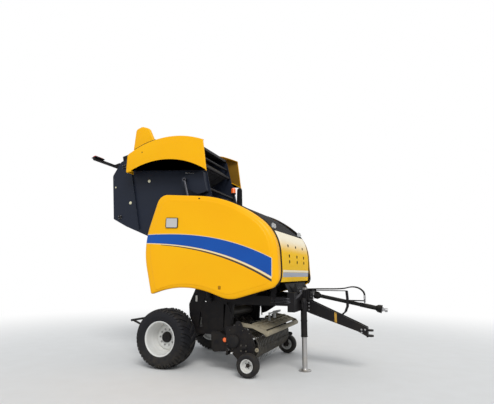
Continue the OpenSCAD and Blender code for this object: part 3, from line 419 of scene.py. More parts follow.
# %% Points, and shapes out of shapes
AXLE = -0.935
HINGE, OPEN = np.array([0.620, 2.950]), math.radians(78)


def mm(x, y, z):
    """Points from millimetres ahead of the axle, to the left and up, as metres in the frame."""
    return np.stack(np.broadcast_arrays(*[np.asarray(k, float) for k in (x, y, z)]), -1) / 1000 + [AXLE, 0, 0]


def at_y(line, y):
    """Side-view points [x, z] in millimetres, placed at y across the machine."""
    return mm(line[..., 0], y, line[..., 1])


def circle(x, y, z, radius, angles):
    """Points in the side view round (x, z), at angles in radians."""
    return mm(x + radius * np.cos(angles), y, z + radius * np.sin(angles))


def steps_round(count):
    """Angles in equal steps round a circle."""
    return 2 * math.pi * np.arange(count) / count


def raised(shape):
    """Turns a shape that is drawn with the tailgate shut about the hinge, as far as the gate stands open."""
    p, faces = shape
    x, z = p[:, 0] - AXLE - HINGE[0], p[:, 2] - HINGE[1]
    c, s = math.cos(OPEN), math.sin(OPEN)
    return np.stack([AXLE + HINGE[0] + c * x + s * z, p[:, 1], HINGE[1] - s * x + c * z], -1), faces


def join(*shapes):
    """Several shapes as one, each one's faces counted on from the points before it."""
    starts = np.cumsum([0] + [len(s[0]) for s in shapes[:-1]]).tolist()
    return np.concatenate([s[0] for s in shapes]), [[k + o for k in f] for s, o in zip(shapes, starts) for f in s[1]]


def mirrored(shape):
    """The same shape on the machine's other side."""
    p, faces = shape
    return p * [1, -1, 1], [f[::-1] for f in faces]


def both(*shapes):
    """Shapes drawn for one side, joined with their mirrors."""
    return join(*shapes, *map(mirrored, shapes))


def repeat(shape, places, turns=None):
    """One shape at many places; turns holds a 3 by 3 turn for each place."""
    p, faces = shape
    places = np.atleast_2d(places)
    many = p[None] if turns is None else np.einsum("nij,kj->nki", turns, p)
    many = (many + places[:, None]).reshape(-1, 3)
    count = len(p)
    return many, [[k + n * count for k in f] for n in range(len(places)) for f in faces]


def across(y):
    """Places in a row across the machine, at y in metres."""
    return np.stack([0 * y, y, 0 * y], -1)


def centred(shape):
    """A shape drawn round (0, 0, 0) in millimetres, without the frame's shift, ready to be placed."""
    return shape[0] - [AXLE, 0, 0], shape[1]


def about_y(angles):
    """Turns about the cross axle: x goes towards z as the angle grows."""
    c, s, o = np.cos(angles), np.sin(angles), np.zeros_like(angles)
    return np.stack([np.stack([c, o, -s], -1), np.stack([o, o + 1, o], -1), np.stack([s, o, c], -1)], -2)


def spin(shape, centre, angles):
    """Copies of a centred shape about a cross axle, one at each angle in radians."""
    return repeat(shape, np.broadcast_to(mm(*centre), (len(angles), 3)), about_y(angles))


print("a quarter turn takes x to", np.round(about_y(np.array([math.pi / 2]))[0] @ [1, 0, 0], 3).tolist())

# %% [markdown]
# ## Lines
# A line is a row of side-view points: a plate's outline with rounded corners, a smooth line through
# measured points for a bent wire or pipe, or an arc. A few numbers give a curve its many points, so it
# stays easy to change.

# %% Lines
def rounded(corners, steps=8):
    """An outline of [x, z, radius] corners.

    Each corner's arc leaves one edge and meets the next at the radius over the tangent of half its angle.
    """
    c = np.array([[*k, 0][:3] for k in corners], float)
    p, r = c[:, :2], c[:, 2:]
    u, v = np.roll(p, 1, 0) - p, np.roll(p, -1, 0) - p
    u, v = (w / np.linalg.norm(w, axis=1, keepdims=True) for w in (u, v))
    half = np.arccos(np.clip((u * v).sum(1, keepdims=True), -0.9999999, 1)) / 2
    between = (u + v) / np.maximum(np.linalg.norm(u + v, axis=1, keepdims=True), 1e-9)
    middle = p + between * r / np.sin(half)
    start = p + u * r / np.tan(half) - middle
    side = np.where((u[:, :1] * v[:, 1:] - u[:, 1:] * v[:, :1]) > 0, -1, 1)
    t = side * (math.pi - 2 * half) * np.linspace(0, 1, steps + 1)
    x, z = start[:, :1], start[:, 1:]
    arcs = np.stack([x * np.cos(t) - z * np.sin(t), x * np.sin(t) + z * np.cos(t)], -1) + middle[:, None]
    line = arcs.reshape(-1, 2)
    return line[np.linalg.norm(line - np.roll(line, 1, 0), axis=1) > 1e-4]


def even(line, count, closed=False):
    """The same line with its points spaced evenly along its length."""
    line = np.concatenate([line, line[:1]]) if closed else line
    s = np.concatenate([[0], np.cumsum(np.linalg.norm(np.diff(line, axis=0), axis=1))])
    t = np.linspace(0, s[-1], count + 1 if closed else count)[:count]
    return np.stack([np.interp(t, s, line[:, k]) for k in range(line.shape[1])], -1)


def smooth_line(points, count):
    """A line through points: a cubic between each two, with slopes from their neighbours (Catmull-Rom)."""
    p = np.array(points, float)
    p = np.concatenate([2 * p[:1] - p[1:2], p, 2 * p[-1:] - p[-2:-1]])
    t = np.linspace(0, len(p) - 3 - 1e-9, count)
    i, f = t.astype(int), (t % 1)[:, None]
    a, b, c, d = p[i], p[i + 1], p[i + 2], p[i + 3]
    return 0.5 * (2 * b + (c - a) * f + (2 * a - 5 * b + 4 * c - d) * f ** 2 + (3 * b - a - 3 * c + d) * f ** 3)


def arc(c, r, a0, a1, count=40):
    """Points of an arc about c in the side view, angles in degrees."""
    a = np.radians(np.linspace(a0, a1, count))[:, None]
    return np.array(c) + r * np.concatenate([np.cos(a), np.sin(a)], 1)


print("a rounded square has", len(rounded([[0, 0, 1], [9, 0, 1], [9, 9, 1], [0, 9, 1]])), "points")

# %% [markdown]
# ## Solids from lines
# Outlines are made solid across the machine, profiles are turned, and rings or flat sections are carried
# along a path, much as a shop would cut, turn and bend the real pieces. Each is a grid of points, so one
# function gives them all their faces.

# %% Solids from lines
def grid(p, wrap_u=False, wrap_v=False, ends=False):
    """Faces over rows of points: each joins a point to the next in its row and to both in the next row."""
    nu, nv = p.shape[:2]
    i = np.arange(nu if wrap_u else nu - 1)[:, None]
    j = np.arange(nv if wrap_v else nv - 1)[None, :]
    here_row, next_row, next_j = i * nv, ((i + 1) % nu) * nv, (j + 1) % nv
    faces = np.stack([here_row + j, next_row + j, next_row + next_j, here_row + next_j], -1).reshape(-1, 4).tolist()
    if ends:
        faces += [list(range(nv))[::-1], list(range((nu - 1) * nv, nu * nv))]
    return p.reshape(-1, 3), faces


def slab(line, y0, y1):
    """A side-view outline made solid across the machine from y0 to y1, in millimetres."""
    line = np.asarray(line, float)
    return grid(np.stack([at_y(line, y0), at_y(line, y1)]), wrap_v=True, ends=True)


def cut(corners, y0, y1, steps=8):
    """A slab with rounded corners."""
    return slab(rounded(corners, steps), y0, y1)


def block(x0, x1, y0, y1, z0, z1):
    """A bar with square ends, in millimetres; its edges are rounded by the piece's bevel."""
    return slab([[x0, z0], [x1, z0], [x1, z1], [x0, z1]], y0, y1)


def lathe(profile, centre, axis="y", sides=48, closed=False):
    """A profile of [radius, along] millimetres turned round an axis through centre."""
    q = np.array(profile, float)
    if not closed and q[-1, 0] > 0:
        q = np.vstack([q, [0, q[-1, 1]]])
    t = np.linspace(0, 2 * math.pi, sides, endpoint=False)[:, None]
    a, b, along = q[:, 0] * np.cos(t), q[:, 0] * np.sin(t), q[:, 1] + 0 * t
    x, y, z = {"y": (a, along, b), "z": (a, b, along), "x": (along, a, b)}[axis]
    return grid(mm(x + centre[0], y + centre[1], z + centre[2]), wrap_u=True, wrap_v=closed)


def turned(profile, sides, axis="y", closed=False):
    """A turned shape round (0, 0, 0), to be placed by repeat or spin."""
    return centred(lathe(profile, (0, 0, 0), axis, sides, closed))


def tube(path, radius, sides=10):
    """A ring in metres carried along a path: each ring stands across the path's direction there."""
    p = np.asarray(path, float)
    t = np.gradient(p, axis=0)
    t /= np.linalg.norm(t, axis=1, keepdims=True)
    ref = np.array([0.03, 1.0, 0.02]) if abs(t[:, 1]).max() < 0.9 else np.array([0.9, 0.04, 0.5])
    s = np.cross(t, ref)
    s /= np.linalg.norm(s, axis=1, keepdims=True)
    a = np.linspace(0, 2 * math.pi, sides, endpoint=False)[None, :, None]
    radius = np.broadcast_to(np.asarray(radius, float), len(p))[:, None, None]
    return grid(p[:, None] + radius * (s[:, None] * np.cos(a) + np.cross(t, s)[:, None] * np.sin(a)),
                wrap_v=True, ends=True)


def ribbon(path, y, section):
    """A section of [off the path, across] carried along a side-view path, both in millimetres."""
    p, q = np.asarray(path, float), np.asarray(section, float)[None]
    t = np.gradient(p, axis=0)
    t /= np.linalg.norm(t, axis=1, keepdims=True)
    n = np.stack([-t[:, 1], t[:, 0]], -1)
    return grid(at_y(p[:, None] + n[:, None] * q[..., :1], y + q[..., 1]), wrap_v=True, ends=True)


def shell(p, push):
    """A sheet over a grid of points, thickened by the vector push and closed round its edge."""
    nu, nv = p.shape[:2]
    top, bottom = grid(p), grid(p + push)
    rim = np.concatenate([np.arange(nv), np.arange(1, nu) * nv + nv - 1,
                          np.arange(nv - 2, -1, -1) + (nu - 1) * nv, np.arange(nu - 2, 0, -1) * nv])
    ahead, under = np.roll(rim, -1), nu * nv
    sides = np.stack([rim, ahead, ahead + under, rim + under], -1).tolist()
    points, faces = join(top, (bottom[0], [f[::-1] for f in bottom[1]]))
    return points, faces + sides


print("a turned disc has", len(turned([[0, 5], [10, 5], [10, 0]], 12)[1]), "faces")

# %% [markdown]
# ## The maker
# One maker turns any shape into a piece that rides with its body. It merges doubled points and turns the
# faces outward, and a bevel along the sharp edges catches the light, as a real edge does.

# %% The maker
def make(name, shape, coat, body, slot=None, bevel=0.0, rounds=2, crease=32, stands_for=()):
    """One mesh from a shape: its doubles merged, its faces turned outward, smooth but for true edges."""
    mesh = bpy.data.meshes.new(name)
    mesh.from_pydata(shape[0].tolist(), [], shape[1])
    work = bmesh.new()
    work.from_mesh(mesh)
    bmesh.ops.remove_doubles(work, verts=work.verts, dist=2e-5)
    bmesh.ops.dissolve_degenerate(work, edges=work.edges, dist=1e-6)
    bmesh.ops.recalc_face_normals(work, faces=work.faces)
    work.to_mesh(mesh)
    work.free()
    mesh.polygons.foreach_set("use_smooth", np.ones(len(mesh.polygons), bool))
    mesh.set_sharp_from_angle(angle=math.radians(crease))
    mesh.materials.append(coat)
    o = bpy.data.objects.new(name, mesh)
    link(o)
    if bevel:
        m = o.modifiers.new("soft_edges", "BEVEL")
        m.width, m.segments, m.limit_method, m.angle_limit = bevel, rounds, "ANGLE", math.radians(crease)
        m.harden_normals = True
    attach(o, body)
    if stands_for:
        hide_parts(*stands_for)
    print(f"{name}: {len(mesh.polygons)} faces on {body}")
    return o


def pair(name, shape, coat, body, stands_for="", **look):
    """A piece as drawn for the right side and its mirror for the left; {} in a name is the side."""
    for side, s in (("right", shape), ("left", mirrored(shape))):
        node = [stands_for.format(side)] if stands_for else ()
        make(name.format(side), s, coat, body.format(side), stands_for=node, **look)


print("maker ready")

# %% [markdown]
# ## Hydraulic hoses
# Four hoses leave a port block on the gearbox, lie along the holder, ride over the mast and hang down
# into their parking plate. Each is a curve with a round section, since a hose is one smooth line of a
# fixed length. A turned coupling ends each one in its socket on the plate.

# %% Four hoses, their ports and couplings
HOSE_R, HOSE_Y = 11.0, (-108, -76, -44, -12)
hose_way = smooth_line([[2330, 1361.3], [2500, 1368], [2700, 1372], [2900, 1376], [3040, 1388], [3130, 1410],
                        [3220, 1412], [3300, 1385], [3360, 1330], [3376, 1270], [3376, 1210.3]], 31)
coupling_line = [[0, -62], [9, -62], [12, -59], [12.5, -8], [15, -6], [15, 0], [13, 2], [13, 10], [14.5, 12],
                 [14.5, 24], [13.6, 26], [14.5, 28], [14.5, 44], [12.8, 46], [12.8, 58], [11.8, 64], [0, 64]]
for k, y in enumerate(HOSE_Y):
    way = at_y(hose_way, y)
    line = bpy.data.curves.new(f"hose_{k + 1}", "CURVE")
    line.dimensions = "3D"
    line.bevel_depth, line.bevel_resolution, line.use_fill_caps = HOSE_R / 1000, 3, True
    spline = line.splines.new("POLY")
    spline.points.add(len(way) - 1)
    spline.points.foreach_set("co", np.concatenate([way, np.ones((len(way), 1))], 1).ravel())
    spline.use_smooth = True
    line.materials.append(hose_rubber)
    hose = bpy.data.objects.new(f"hose_{k + 1}", line)
    link(hose)
    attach(hose, "chassis")
    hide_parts("hoses")
    end = make(f"hose_coupling_{k + 1}", lathe(coupling_line, (3376, y, 1210), "z", 24), steel, "chassis", crease=35)
ferrule = lathe([[11.2, 0], [14.5, 0], [14.5, 15], [12.6, 17], [12.6, 40], [11.2, 42]], (2340, 0, 1361.3), "x", 6,
                closed=True)
ports = join(block(2296, 2342, -126, 6, 1349, 1386), repeat(ferrule, across(np.array(HOSE_Y) / 1000)))
make("hose_ports", ports, steel, "chassis", bevel=0.0015)

# %% [markdown]
# ## Side shields
# The big side doors are moulded sheets, crowned across, with a rim that rolls in all round. A plain
# extrusion would look cut from board, so the skin is a function of two parameters: the way round the
# outline, and the way out from the middle. From the middle it is nearly flat, then a superellipse of
# power 3 rolls it over into the rim.

# %% The shield's surface
SHIELD = rounded([[-138, 3091, 208], [1343, 2950, 2115], [2125, 2323, 780], [2171, 1443, 186], [1295, 1190, 536],
                  [431, 1492, 1776], [-250, 1262, 29], [-466, 2121, 1387]], 14)
MID, HALF, CROWN, SHEET = np.array([950.0, 2080.0]), 1200.0, 16.0, 10.0
RIM_BACK, RIM_FRONT, FRONT_FROM, FRONT_TO, BLEND = 1110, 960, -32, 62, 16
FLAT, STEP_AT, STEP_WIDE, STEP_DEEP = 0.8, 0.902, 0.012, 5


def bearing(p):
    """The direction of side-view points from the shield's middle, in degrees."""
    return np.degrees(np.arctan2(p[..., 1] - MID[1], p[..., 0] - MID[0]))


def ease(k):
    """From zero to one with level ends: three times the square, less twice the cube."""
    k = np.clip(k, 0, 1)
    return k * k * (3 - 2 * k)


def rim_y(p):
    """How far out the rim's back edge lies: deeper in front, between two bearings, where it meets the door."""
    a = bearing(p)
    return RIM_BACK + (RIM_FRONT - RIM_BACK) * ease(np.minimum(a - FRONT_FROM, FRONT_TO - a) / BLEND)


def skin_y(share, rim):
    """Height of the skin at a share of the way out: a low dome, then the rolled edge with one pressed step."""
    s = np.clip((share - FLAT) / (1 - FLAT), 0, 1)
    dome = CROWN * np.clip(1 - (share / FLAT) ** 2, 0, 1) ** 2
    step = STEP_DEEP * ease((share - STEP_AT) / STEP_WIDE)
    return rim + (HALF - rim) * (0.55 + 0.45 * (1 - s ** 3) ** (1 / 3)) + dome - step


around = even(SHIELD, 300, closed=True)
roll = FLAT + (1 - FLAT) * np.cos(np.linspace(0.05, math.pi / 2, 18)) ** (2 / 3)
roll = np.unique(np.concatenate([roll, STEP_AT + STEP_WIDE * np.linspace(0, 1, 5)]))
share = np.concatenate([np.linspace(0, 0.75, 16), roll, np.ones(4)])[:, None]
lift = np.concatenate([np.full(16 + len(roll), -1.0), [0.55, 0.4, 0.2, 0.0]])[:, None]
rim = rim_y(around)[None] + 0 * share
height = np.where(lift >= 0, rim + (HALF - rim) * lift, skin_y(share, rim))
inside = np.where(lift == 0, rim, height - SHEET)


def plan(share):
    """The outline drawn in towards the middle, once for each share of the way out."""
    return MID + (around - MID)[None] * share[..., None]


skin = np.concatenate([at_y(plan(share), -height), at_y(plan(share * 0.985), -inside)[::-1][1:]])
# A dark sheet just inside each shield's skin: painted shade on the shields' inner faces.
shade_sheet = at_y(plan(np.maximum(share * 0.985 - 0.004, 0.001)), -np.where(lift == 0, rim + 2, inside - 3))
pair("shield_skin_{}", grid(skin, wrap_v=True), yellow, "shield_{}", stands_for="shield_{}", crease=50)
pair("shield_lining_{}", grid(shade_sheet, wrap_v=True), dark, "shield_{}", crease=60)
arms = join(*[block(x - 18, x + 18, -1191, -926, 2946, 2974) for x in (150, 700)])
pair("shield_arms_{}", arms, black, "shield_{}", bevel=0.003)

# %% [markdown]
# ## Stripe and plate on the shields
# The blue stripe and the thin lines round it are vinyl films on the moulding, and the plate above is a
# blank riveted one. A film that follows the skin's own surface keeps its edges crisp at any distance,
# which a painted mask would not. Each film is a grid between two curves, lifted just over a millimetre.

# %% Films that lie on the skin
FILM_LIFT = 1.2
order = np.argsort(bearing(around))
edge_a, edge_r = bearing(around)[order], np.linalg.norm(around - MID, axis=1)[order]
back_edge = around[(around[:, 0] < 0) & (around[:, 1] > 1400) & (around[:, 1] < 2700)]
back_edge = back_edge[np.argsort(back_edge[:, 1])]


def on_skin(x, z, lift):
    """The point of the right shield's skin over (x, z), lifted off it.

    Its share of the way out is its distance from the middle over the outline's in that direction.
    """
    p = np.stack([x, z], -1)
    share = np.linalg.norm(p - MID, axis=-1) / np.interp(bearing(p), edge_a, edge_r, period=360)
    return at_y(p, -(skin_y(np.minimum(share, 0.9995), rim_y(p)) + lift))


def curve(points):
    """A cubic that passes nearest to the measured points."""
    return np.poly1d(np.polyfit(*np.array(points, float).T, 3))


def beside(line, gap, growth=0):
    """A curve beside another, by a gap that grows evenly towards the front."""
    return lambda x: line(x) + gap + growth * (x + 350) / 2400


def film(x0, x1, upper, lower, rows=3, along=420):
    """Between two curves, as a thin sheet on the skin; without x0 it starts at the shield's rear edge."""
    u, v = np.linspace(0, 1, along)[:, None], np.linspace(0, 1, rows)[None]
    if x0 is None:
        x0 = np.interp(upper(-380.0) * (1 - v) + lower(-380.0) * v, back_edge[:, 1], back_edge[:, 0]) + 9
    x = (x0 + 0 * v) * (1 - u) + x1 * u
    return shell(on_skin(x, upper(x) * (1 - v) + lower(x) * v, FILM_LIFT), np.array([0, 0.0012, 0]))


top = curve([(-270, 2340), (80, 2338), (430, 2320), (750, 2285), (1270, 2175), (1780, 2020), (2050, 1885)])
low = curve([(-270, 2182), (200, 2152), (680, 2080), (1270, 1930), (1780, 1740), (2050, 1590)])
border = join(film(None, 2060, beside(top, 9), beside(top, 1)), film(2053, 2061, top, low, rows=14, along=3))
for name, coat, shape in (
        ("stripe_{}", blue, film(None, 2052, top, low, rows=14)), ("stripe_border_{}", ivory, border),
        ("stripe_line_pale_{}", ivory, film(None, 2052, beside(low, -3), beside(low, -13, -24))),
        ("stripe_line_dark_{}", pine, film(-60, 2052, beside(low, -15, -30), beside(low, -20, -62)))):
    pair(name, shape, coat, "shield_{}", crease=60)


def toward(line, middle, share):
    """A line drawn in towards a point."""
    return np.array(middle) + (line - np.array(middle)) * share


badge = rounded([[30, 2452, 26], [290, 2440, 26], [292, 2628, 26], [34, 2642, 26]], 6)
rivets = repeat(turned([[0, 0], [5, -0.4], [6.5, -3], [6.5, -6]], 12),
                mm([52, 270, 54, 272], -1223, [2466, 2456, 2626, 2616]))
pair("plate_frame_{}", slab(badge, -1217.5, -1210), black, "shield_{}", bevel=0.002)
pair("plate_blank_{}", join(slab(toward(badge, [161, 2541], 0.88), -1219.5, -1212), rivets), plate_grey,
     "shield_{}", bevel=0.001)

# %% [markdown]
# ## Seals and latches on the shields
# A rubber seal closes each shield against the front door and the deck. It is a half-round strip carried
# along the rim. A recessed latch sits low on the skin, over the strut that it locks on.

# %% Seal and latch
turn = bearing(around)
front = around[(around[:, 0] > 1100) & (around[:, 1] > 1150) & (turn > -30) & (turn < 140)]
front = front[np.argsort(bearing(front))]
out = ((front - MID) / np.linalg.norm(front - MID, axis=1, keepdims=True))[:, None]
off = np.array([0, 10, 19, 19, 10, 0, -6, -6])[None, :, None]
back = np.array([0, 6, 14, 30, 38, 44, 44, 0])
seal = at_y(front[:, None] + out * off, -rim_y(front)[:, None] - 2 - back)
pair("shield_seal_{}", grid(seal, wrap_v=True, ends=True), hose_rubber, "shield_{}", crease=60)
latch_y = on_skin(np.array(1130.0), np.array(1400.0), 0)[1] * 1000
latch = join(cut([[1104, 1372, 14], [1156, 1372, 14], [1156, 1432, 14], [1104, 1432, 14]], latch_y - 4, latch_y + 8),
             lathe([[0, -8], [13, -7], [15, -3], [15, 4]], (1130, latch_y - 3, 1402), sides=24))
# The latch wears the darker orange as painted shade of its recess.
pair("shield_latch_{}", latch, latch_painted_shade, "shield_{}", bevel=0.002)

# %% [markdown]
# ## Tailgate covers and net hood
# The gate carries two yellow side covers, and behind them a low hood with a tall fin on each side. They
# are trays pressed from sheet: a flat face, a rolled edge, and a rim that goes back deep along the top
# and is only a lip where the cover stays open. Rings carried inward along the outline's normals give
# that. They are drawn with the gate shut, as the maker would draw them, and turned up about the hinge.

# %% Covers and hood
TOP_ARC, LOW_ARC = ([1004, 2060], 1950), ([1279, 1840], 1780)


def tray(line, y0, depth, radius=18.0, sheet=10.0, steps=6):
    """A pressed tray on the right side, as rings from the flat face round the rim and back inside.

    A ring is the outline moved inward by the radius times one less the cosine, and back by the radius
    times one less the sine.
    """
    d = np.roll(line, -1, 0) - np.roll(line, 1, 0)
    after = np.roll(line, -1, 0)
    turning = np.sign((line[:, 0] * after[:, 1] - after[:, 0] * line[:, 1]).sum())
    n = turning * np.stack([d[:, 1], -d[:, 0]], -1) / np.linalg.norm(d, axis=1, keepdims=True)
    a = np.linspace(math.pi / 2, 0, steps)[:, None]
    depth, inner = np.broadcast_to(np.asarray(depth, float), len(line))[None], radius - sheet
    off = np.concatenate([radius * (1 - np.cos(a)), [[0.0], [sheet]], sheet + inner * (1 - np.cos(a[::-1]))])
    back = np.concatenate([radius * (1 - np.sin(a)) + 0 * depth, depth, depth,
                           sheet + inner * (1 - np.sin(a[::-1])) + 0 * depth])
    return grid(at_y(line[None] - n[None] * off[..., None], y0 + back), wrap_v=True, ends=True)


tail = rounded([arc(*TOP_ARC, 193.2, 194, 2)[0], [-845, 1420, 90], [-470, 1325, 26], arc(*LOW_ARC, 192.5, 190, 2)[0]])
tail = tail[(tail[:, 0] > -880) & (tail[:, 1] < 1500)]
top_edge, low_edge = arc(*TOP_ARC, 145.5, 193.2), arc(*LOW_ARC, 192.5, 134.1)
front_edge = low_edge[-1] + (top_edge[0] - low_edge[-1]) * np.linspace(0.04, 0.97, 14)[:, None]
cover_line = np.concatenate([top_edge, tail, low_edge, front_edge])
depth = np.concatenate([np.linspace(60, 236, 8), np.full(len(top_edge) + len(tail) - 14, 236.0),
                        np.full(len(low_edge) + len(front_edge) + 6, 24.0)])
pair("gate_cover_{}", raised(tray(cover_line, -880, depth)), yellow, "tailgate", stands_for="tailgate_cover_{}",
     crease=45)
# A sheet of the darker yellow just inside each cover: painted shade on the covers' inner faces.
cover_shade_sheet = slab(toward(cover_line, [-420, 2050], 0.98), -869.4, -867.8)
make("gate_cover_linings", both(raised(cover_shade_sheet)), shaded, "tailgate", crease=45)
# A dark strip along the rear of each cover's top edge: painted shadow in the gap between the cover and the fin.
cover_shadow_strip = ribbon(arc(TOP_ARC[0], 1953.5, 178, 193.2, 60), 0, [[-4, -874], [4, -874], [4, -690], [-4, -690]])
make("cover_shadow_strips", both(raised(cover_shadow_strip)), hose_rubber, "tailgate", crease=50)
plug = lathe([[0, -884], [11, -883.4], [13, -881], [13, -878], [0, -878]], (-779, 0, 1782), sides=24)
make("cover_plugs", both(raised(plug)), black, "tailgate", crease=40)
fin_line = rounded([[-851, 1990, 4], [-1400, 1852, 140], [-1500, 1690, 90], [-1480, 1530, 70], [-1060, 1392, 20],
                    [-851, 1420, 4]], 10)
hood = cut([[-851, 1975, 4], [-1120, 1925, 60], [-1160, 1600, 60], [-1060, 1400, 20], [-851, 1440, 4]], -548, 548)
make("hood_fins", both(raised(tray(fin_line, -600, 59, radius=28))), yellow, "tailgate", crease=45,
     stands_for=["net_hood"])
make("hood_skin", raised(hood), yellow, "tailgate", bevel=0.02, rounds=4)
fin_foot = slab([[-851, 1412], [-851, 1992], [-905, 1990], [-905, 1400]], -606, -594)
hood_foot = slab([[-851, 1440], [-851, 1974], [-876, 1970], [-876, 1432]], -552, 552)
make("hood_seals", raised(join(both(fin_foot), hood_foot)), hose_rubber, "tailgate", bevel=0.002)

# %% [markdown]
# ## Front door
# The door is one bowed sheet with nine vent holes. Its side edges curl back by a quarter round, so the
# skin is a function of height and width: the bow sets how far out it is at each height, and the curl
# takes it back near the edges. The holes are cut by nine rods. Towards the top the paint is mixed to a
# pale cream as a painted highlight.

# %% Door skin with its vents
DOOR_HALF, CURL, DOOR_SHEET, BAND = 943, 34.0, np.array([-0.010, 0, 0]), np.array([-0.0012, 0, 0])
tree = yellow_with_highlight.node_tree
base = tree.nodes["Principled BSDF"].inputs["Base Color"]
# Painted highlight: towards the top the door's colour is mixed to a pale cream.
highlight_mask = remap(tree, upward(tree, here(tree)), 1.98, 2.26, 0.92, "SMOOTHSTEP")
tree.links.new(mix(tree, highlight_mask, base.links[0].from_socket, screen(252, 244, 222)), base)
bow = smooth_line([[2050, 2360], [2110, 2240], [2150, 2080], [2168, 1900], [2165, 1700], [2150, 1500]], 60)
t = np.linspace(-1, 1, 97)
width = DOOR_HALF * np.sign(t) * (1 - (1 - np.abs(t)) ** 1.15)
curled = np.clip(np.abs(width) - (DOOR_HALF - CURL), 0, CURL)
back_off = CURL - np.sqrt(np.clip(CURL ** 2 - curled ** 2, 0, None))
door_grid = mm(bow[:, :1] - back_off[None], width[None], bow[:, 1:])
door = make("door_skin", shell(door_grid, DOOR_SHEET), yellow_with_highlight, "front_door", crease=50, stands_for=["front_door"])
vent_y, vent_z = (k.ravel() for k in np.meshgrid([-520.0, 0, 520], [2120.0, 1945, 1845]))
drill = lathe([[0, -120], [24, -120], [24, 120], [0, 120]], (2140, 0, 0), "x", 32)
drills = repeat(drill, np.stack([0 * vent_y, vent_y, vent_z], -1) / 1000)
cutter = make("drills", drills, black, "front_door")
hole = door.modifiers.new("vent_holes", "BOOLEAN")
hole.object, hole.operation, hole.solver = cutter, "DIFFERENCE", "EXACT"
bpy.context.view_layer.objects.active = door
with bpy.context.temp_override(object=door, active_object=door):
    bpy.ops.object.modifier_apply(modifier="vent_holes")
bpy.data.objects.remove(cutter)
print("door faces after drilling:", len(door.data.polygons))


def bow_x(z):
    """How far ahead the door's face is at a height."""
    return np.interp(z, bow[::-1, 1], bow[::-1, 0])


vent_at = mm(bow_x(vent_z), vent_y, vent_z)
ring = turned([[23.5, -9], [23.5, 2], [26, 4], [29, 4], [31, 1], [31, -9]], 32, "x", closed=True)
gauze = turned([[0, -7], [24, -7], [24, -9], [0, -9]], 24, "x")
make("vent_rings", repeat(ring, vent_at), hose_rubber, "front_door")
make("vent_gauze", repeat(gauze, vent_at), black, "front_door")
band_y = np.linspace(-905, 905, 60)[None]
for name, z0, z1, rows, coat in (("door_band", 1660, 1580, 6, band_grey), ("door_band_pale", 1700, 1664, 4, ivory)):
    z = np.linspace(z0, z1, rows)[:, None]
    make(name, shell(mm(bow_x(z) + 0.8, band_y, z), BAND), coat, "front_door", crease=60)
hinge = [[2012, 2300, 8], [2066, 2300, 8], [2066, 2318, 4], [2030, 2326, 8], [2012, 2324, 8]]
make("door_hinges", both(cut(hinge, -640, -600)), black, "front_door", bevel=0.002)

# %% [markdown]
# ## Main tyres
# A flotation tyre is a cured carcass with rubber bars moulded on. The carcass is a profile turned round
# the axle, with two thin rings on its side. Each long bar starts near the middle, leans, and runs over
# the shoulder; its top follows the tyre's full round while its foot follows the carcass, so the bar is
# a grid of four corners along that line. Short bars fill the shoulder between the long ones.

# %% Carcass and bars
TYRE_R, TYRE_W, BARS, BAR_LEAN, BAR_DEEP = 510.0, 500.0, 22, 32, 19
half_tread = np.array([[1.0, 0.0], [1.0, 0.2], [0.985, 0.33], [0.962, 0.41], [0.925, 0.455], [0.865, 0.486],
                       [0.80, 0.492]])
tread = smooth_line(half_tread * [TYRE_R, TYRE_W], 60)


def bar_depth(r):
    """How deep the bars stand at a radius: nothing low on the side, in full over the tread."""
    return BAR_DEEP * np.clip((r / TYRE_R - 0.8) / 0.12, 0, 1)


sunk = tread - np.stack([bar_depth(tread[:, 0]), 0 * tread[:, 0]], -1)
side_line = smooth_line([[290, 196], [300, 214], [318, 226], [362, 242], [392, 247], [408, 246]], 22)
r = side_line[:, 0]
side_line[:, 1] += 2.4 * (np.exp(-((r - 330) / 3.5) ** 2) + np.exp(-((r - 386) / 4) ** 2))
half = np.concatenate([side_line, sunk[::-1][2:]])
profile = np.concatenate([half, (half * [1, -1])[::-1][1:], [[287, -200], [287, 200]]])


def bar(side, s0, s1, width):
    """One tread bar: points between two shares of the tread line, a foot wider than its top."""
    share = np.linspace(s0, s1, 14)
    line = even(tread, 200)
    top = np.stack([np.interp(share, np.linspace(0, 1, 200), line[:, k]) for k in (0, 1)], -1)
    foot = top - np.stack([bar_depth(top[:, 0]) + 7, 4 + 0 * share], -1)
    turn = math.sin(math.radians(BAR_LEAN)) * top[:, 1] * (1 - 0.0011 * top[:, 1]) * 1.35 / TYRE_R
    rows = []
    for line, spread in ((foot, 1.16), (top, 1), (top, -1), (foot, -1.16)):
        a = turn + spread * width / 2 / TYRE_R
        rows.append(np.stack([line[:, 0] * np.cos(a), side * line[:, 1], line[:, 0] * np.sin(a)], -1) / 1000)
    return grid(np.stack(rows, 1), wrap_v=True, ends=True)


for side, y in (("right", -1000), ("left", 1000)):
    centre = (0, y, TYRE_R)
    parts = [lathe(profile, centre, sides=132, closed=True)]
    for half in (-1, 1):
        at = -steps_round(BARS) - half * math.pi / 2 / BARS
        parts += [spin(bar(half, 0.03, 0.86, 58), centre, at),
                  spin(bar(half, 0.60, 0.88, 44), centre, at + math.pi / BARS)]
    make("tyre_tread_" + side, join(*parts), tyre_rubber, "wheel_" + side, bevel=0.004, crease=38,
         stands_for=["tyre_" + side])

# %% [markdown]
# ## Rims, hub caps and wheel bolts
# The rim is rolled from plate: a flange that holds the bead, a well, and a dished disc welded far inside,
# all one profile turned round the axle. The hub's black cap fills the disc's middle, ten nuts on a
# 275 mm circle hold the disc, and a valve stands in the well. All are drawn on the left wheel.

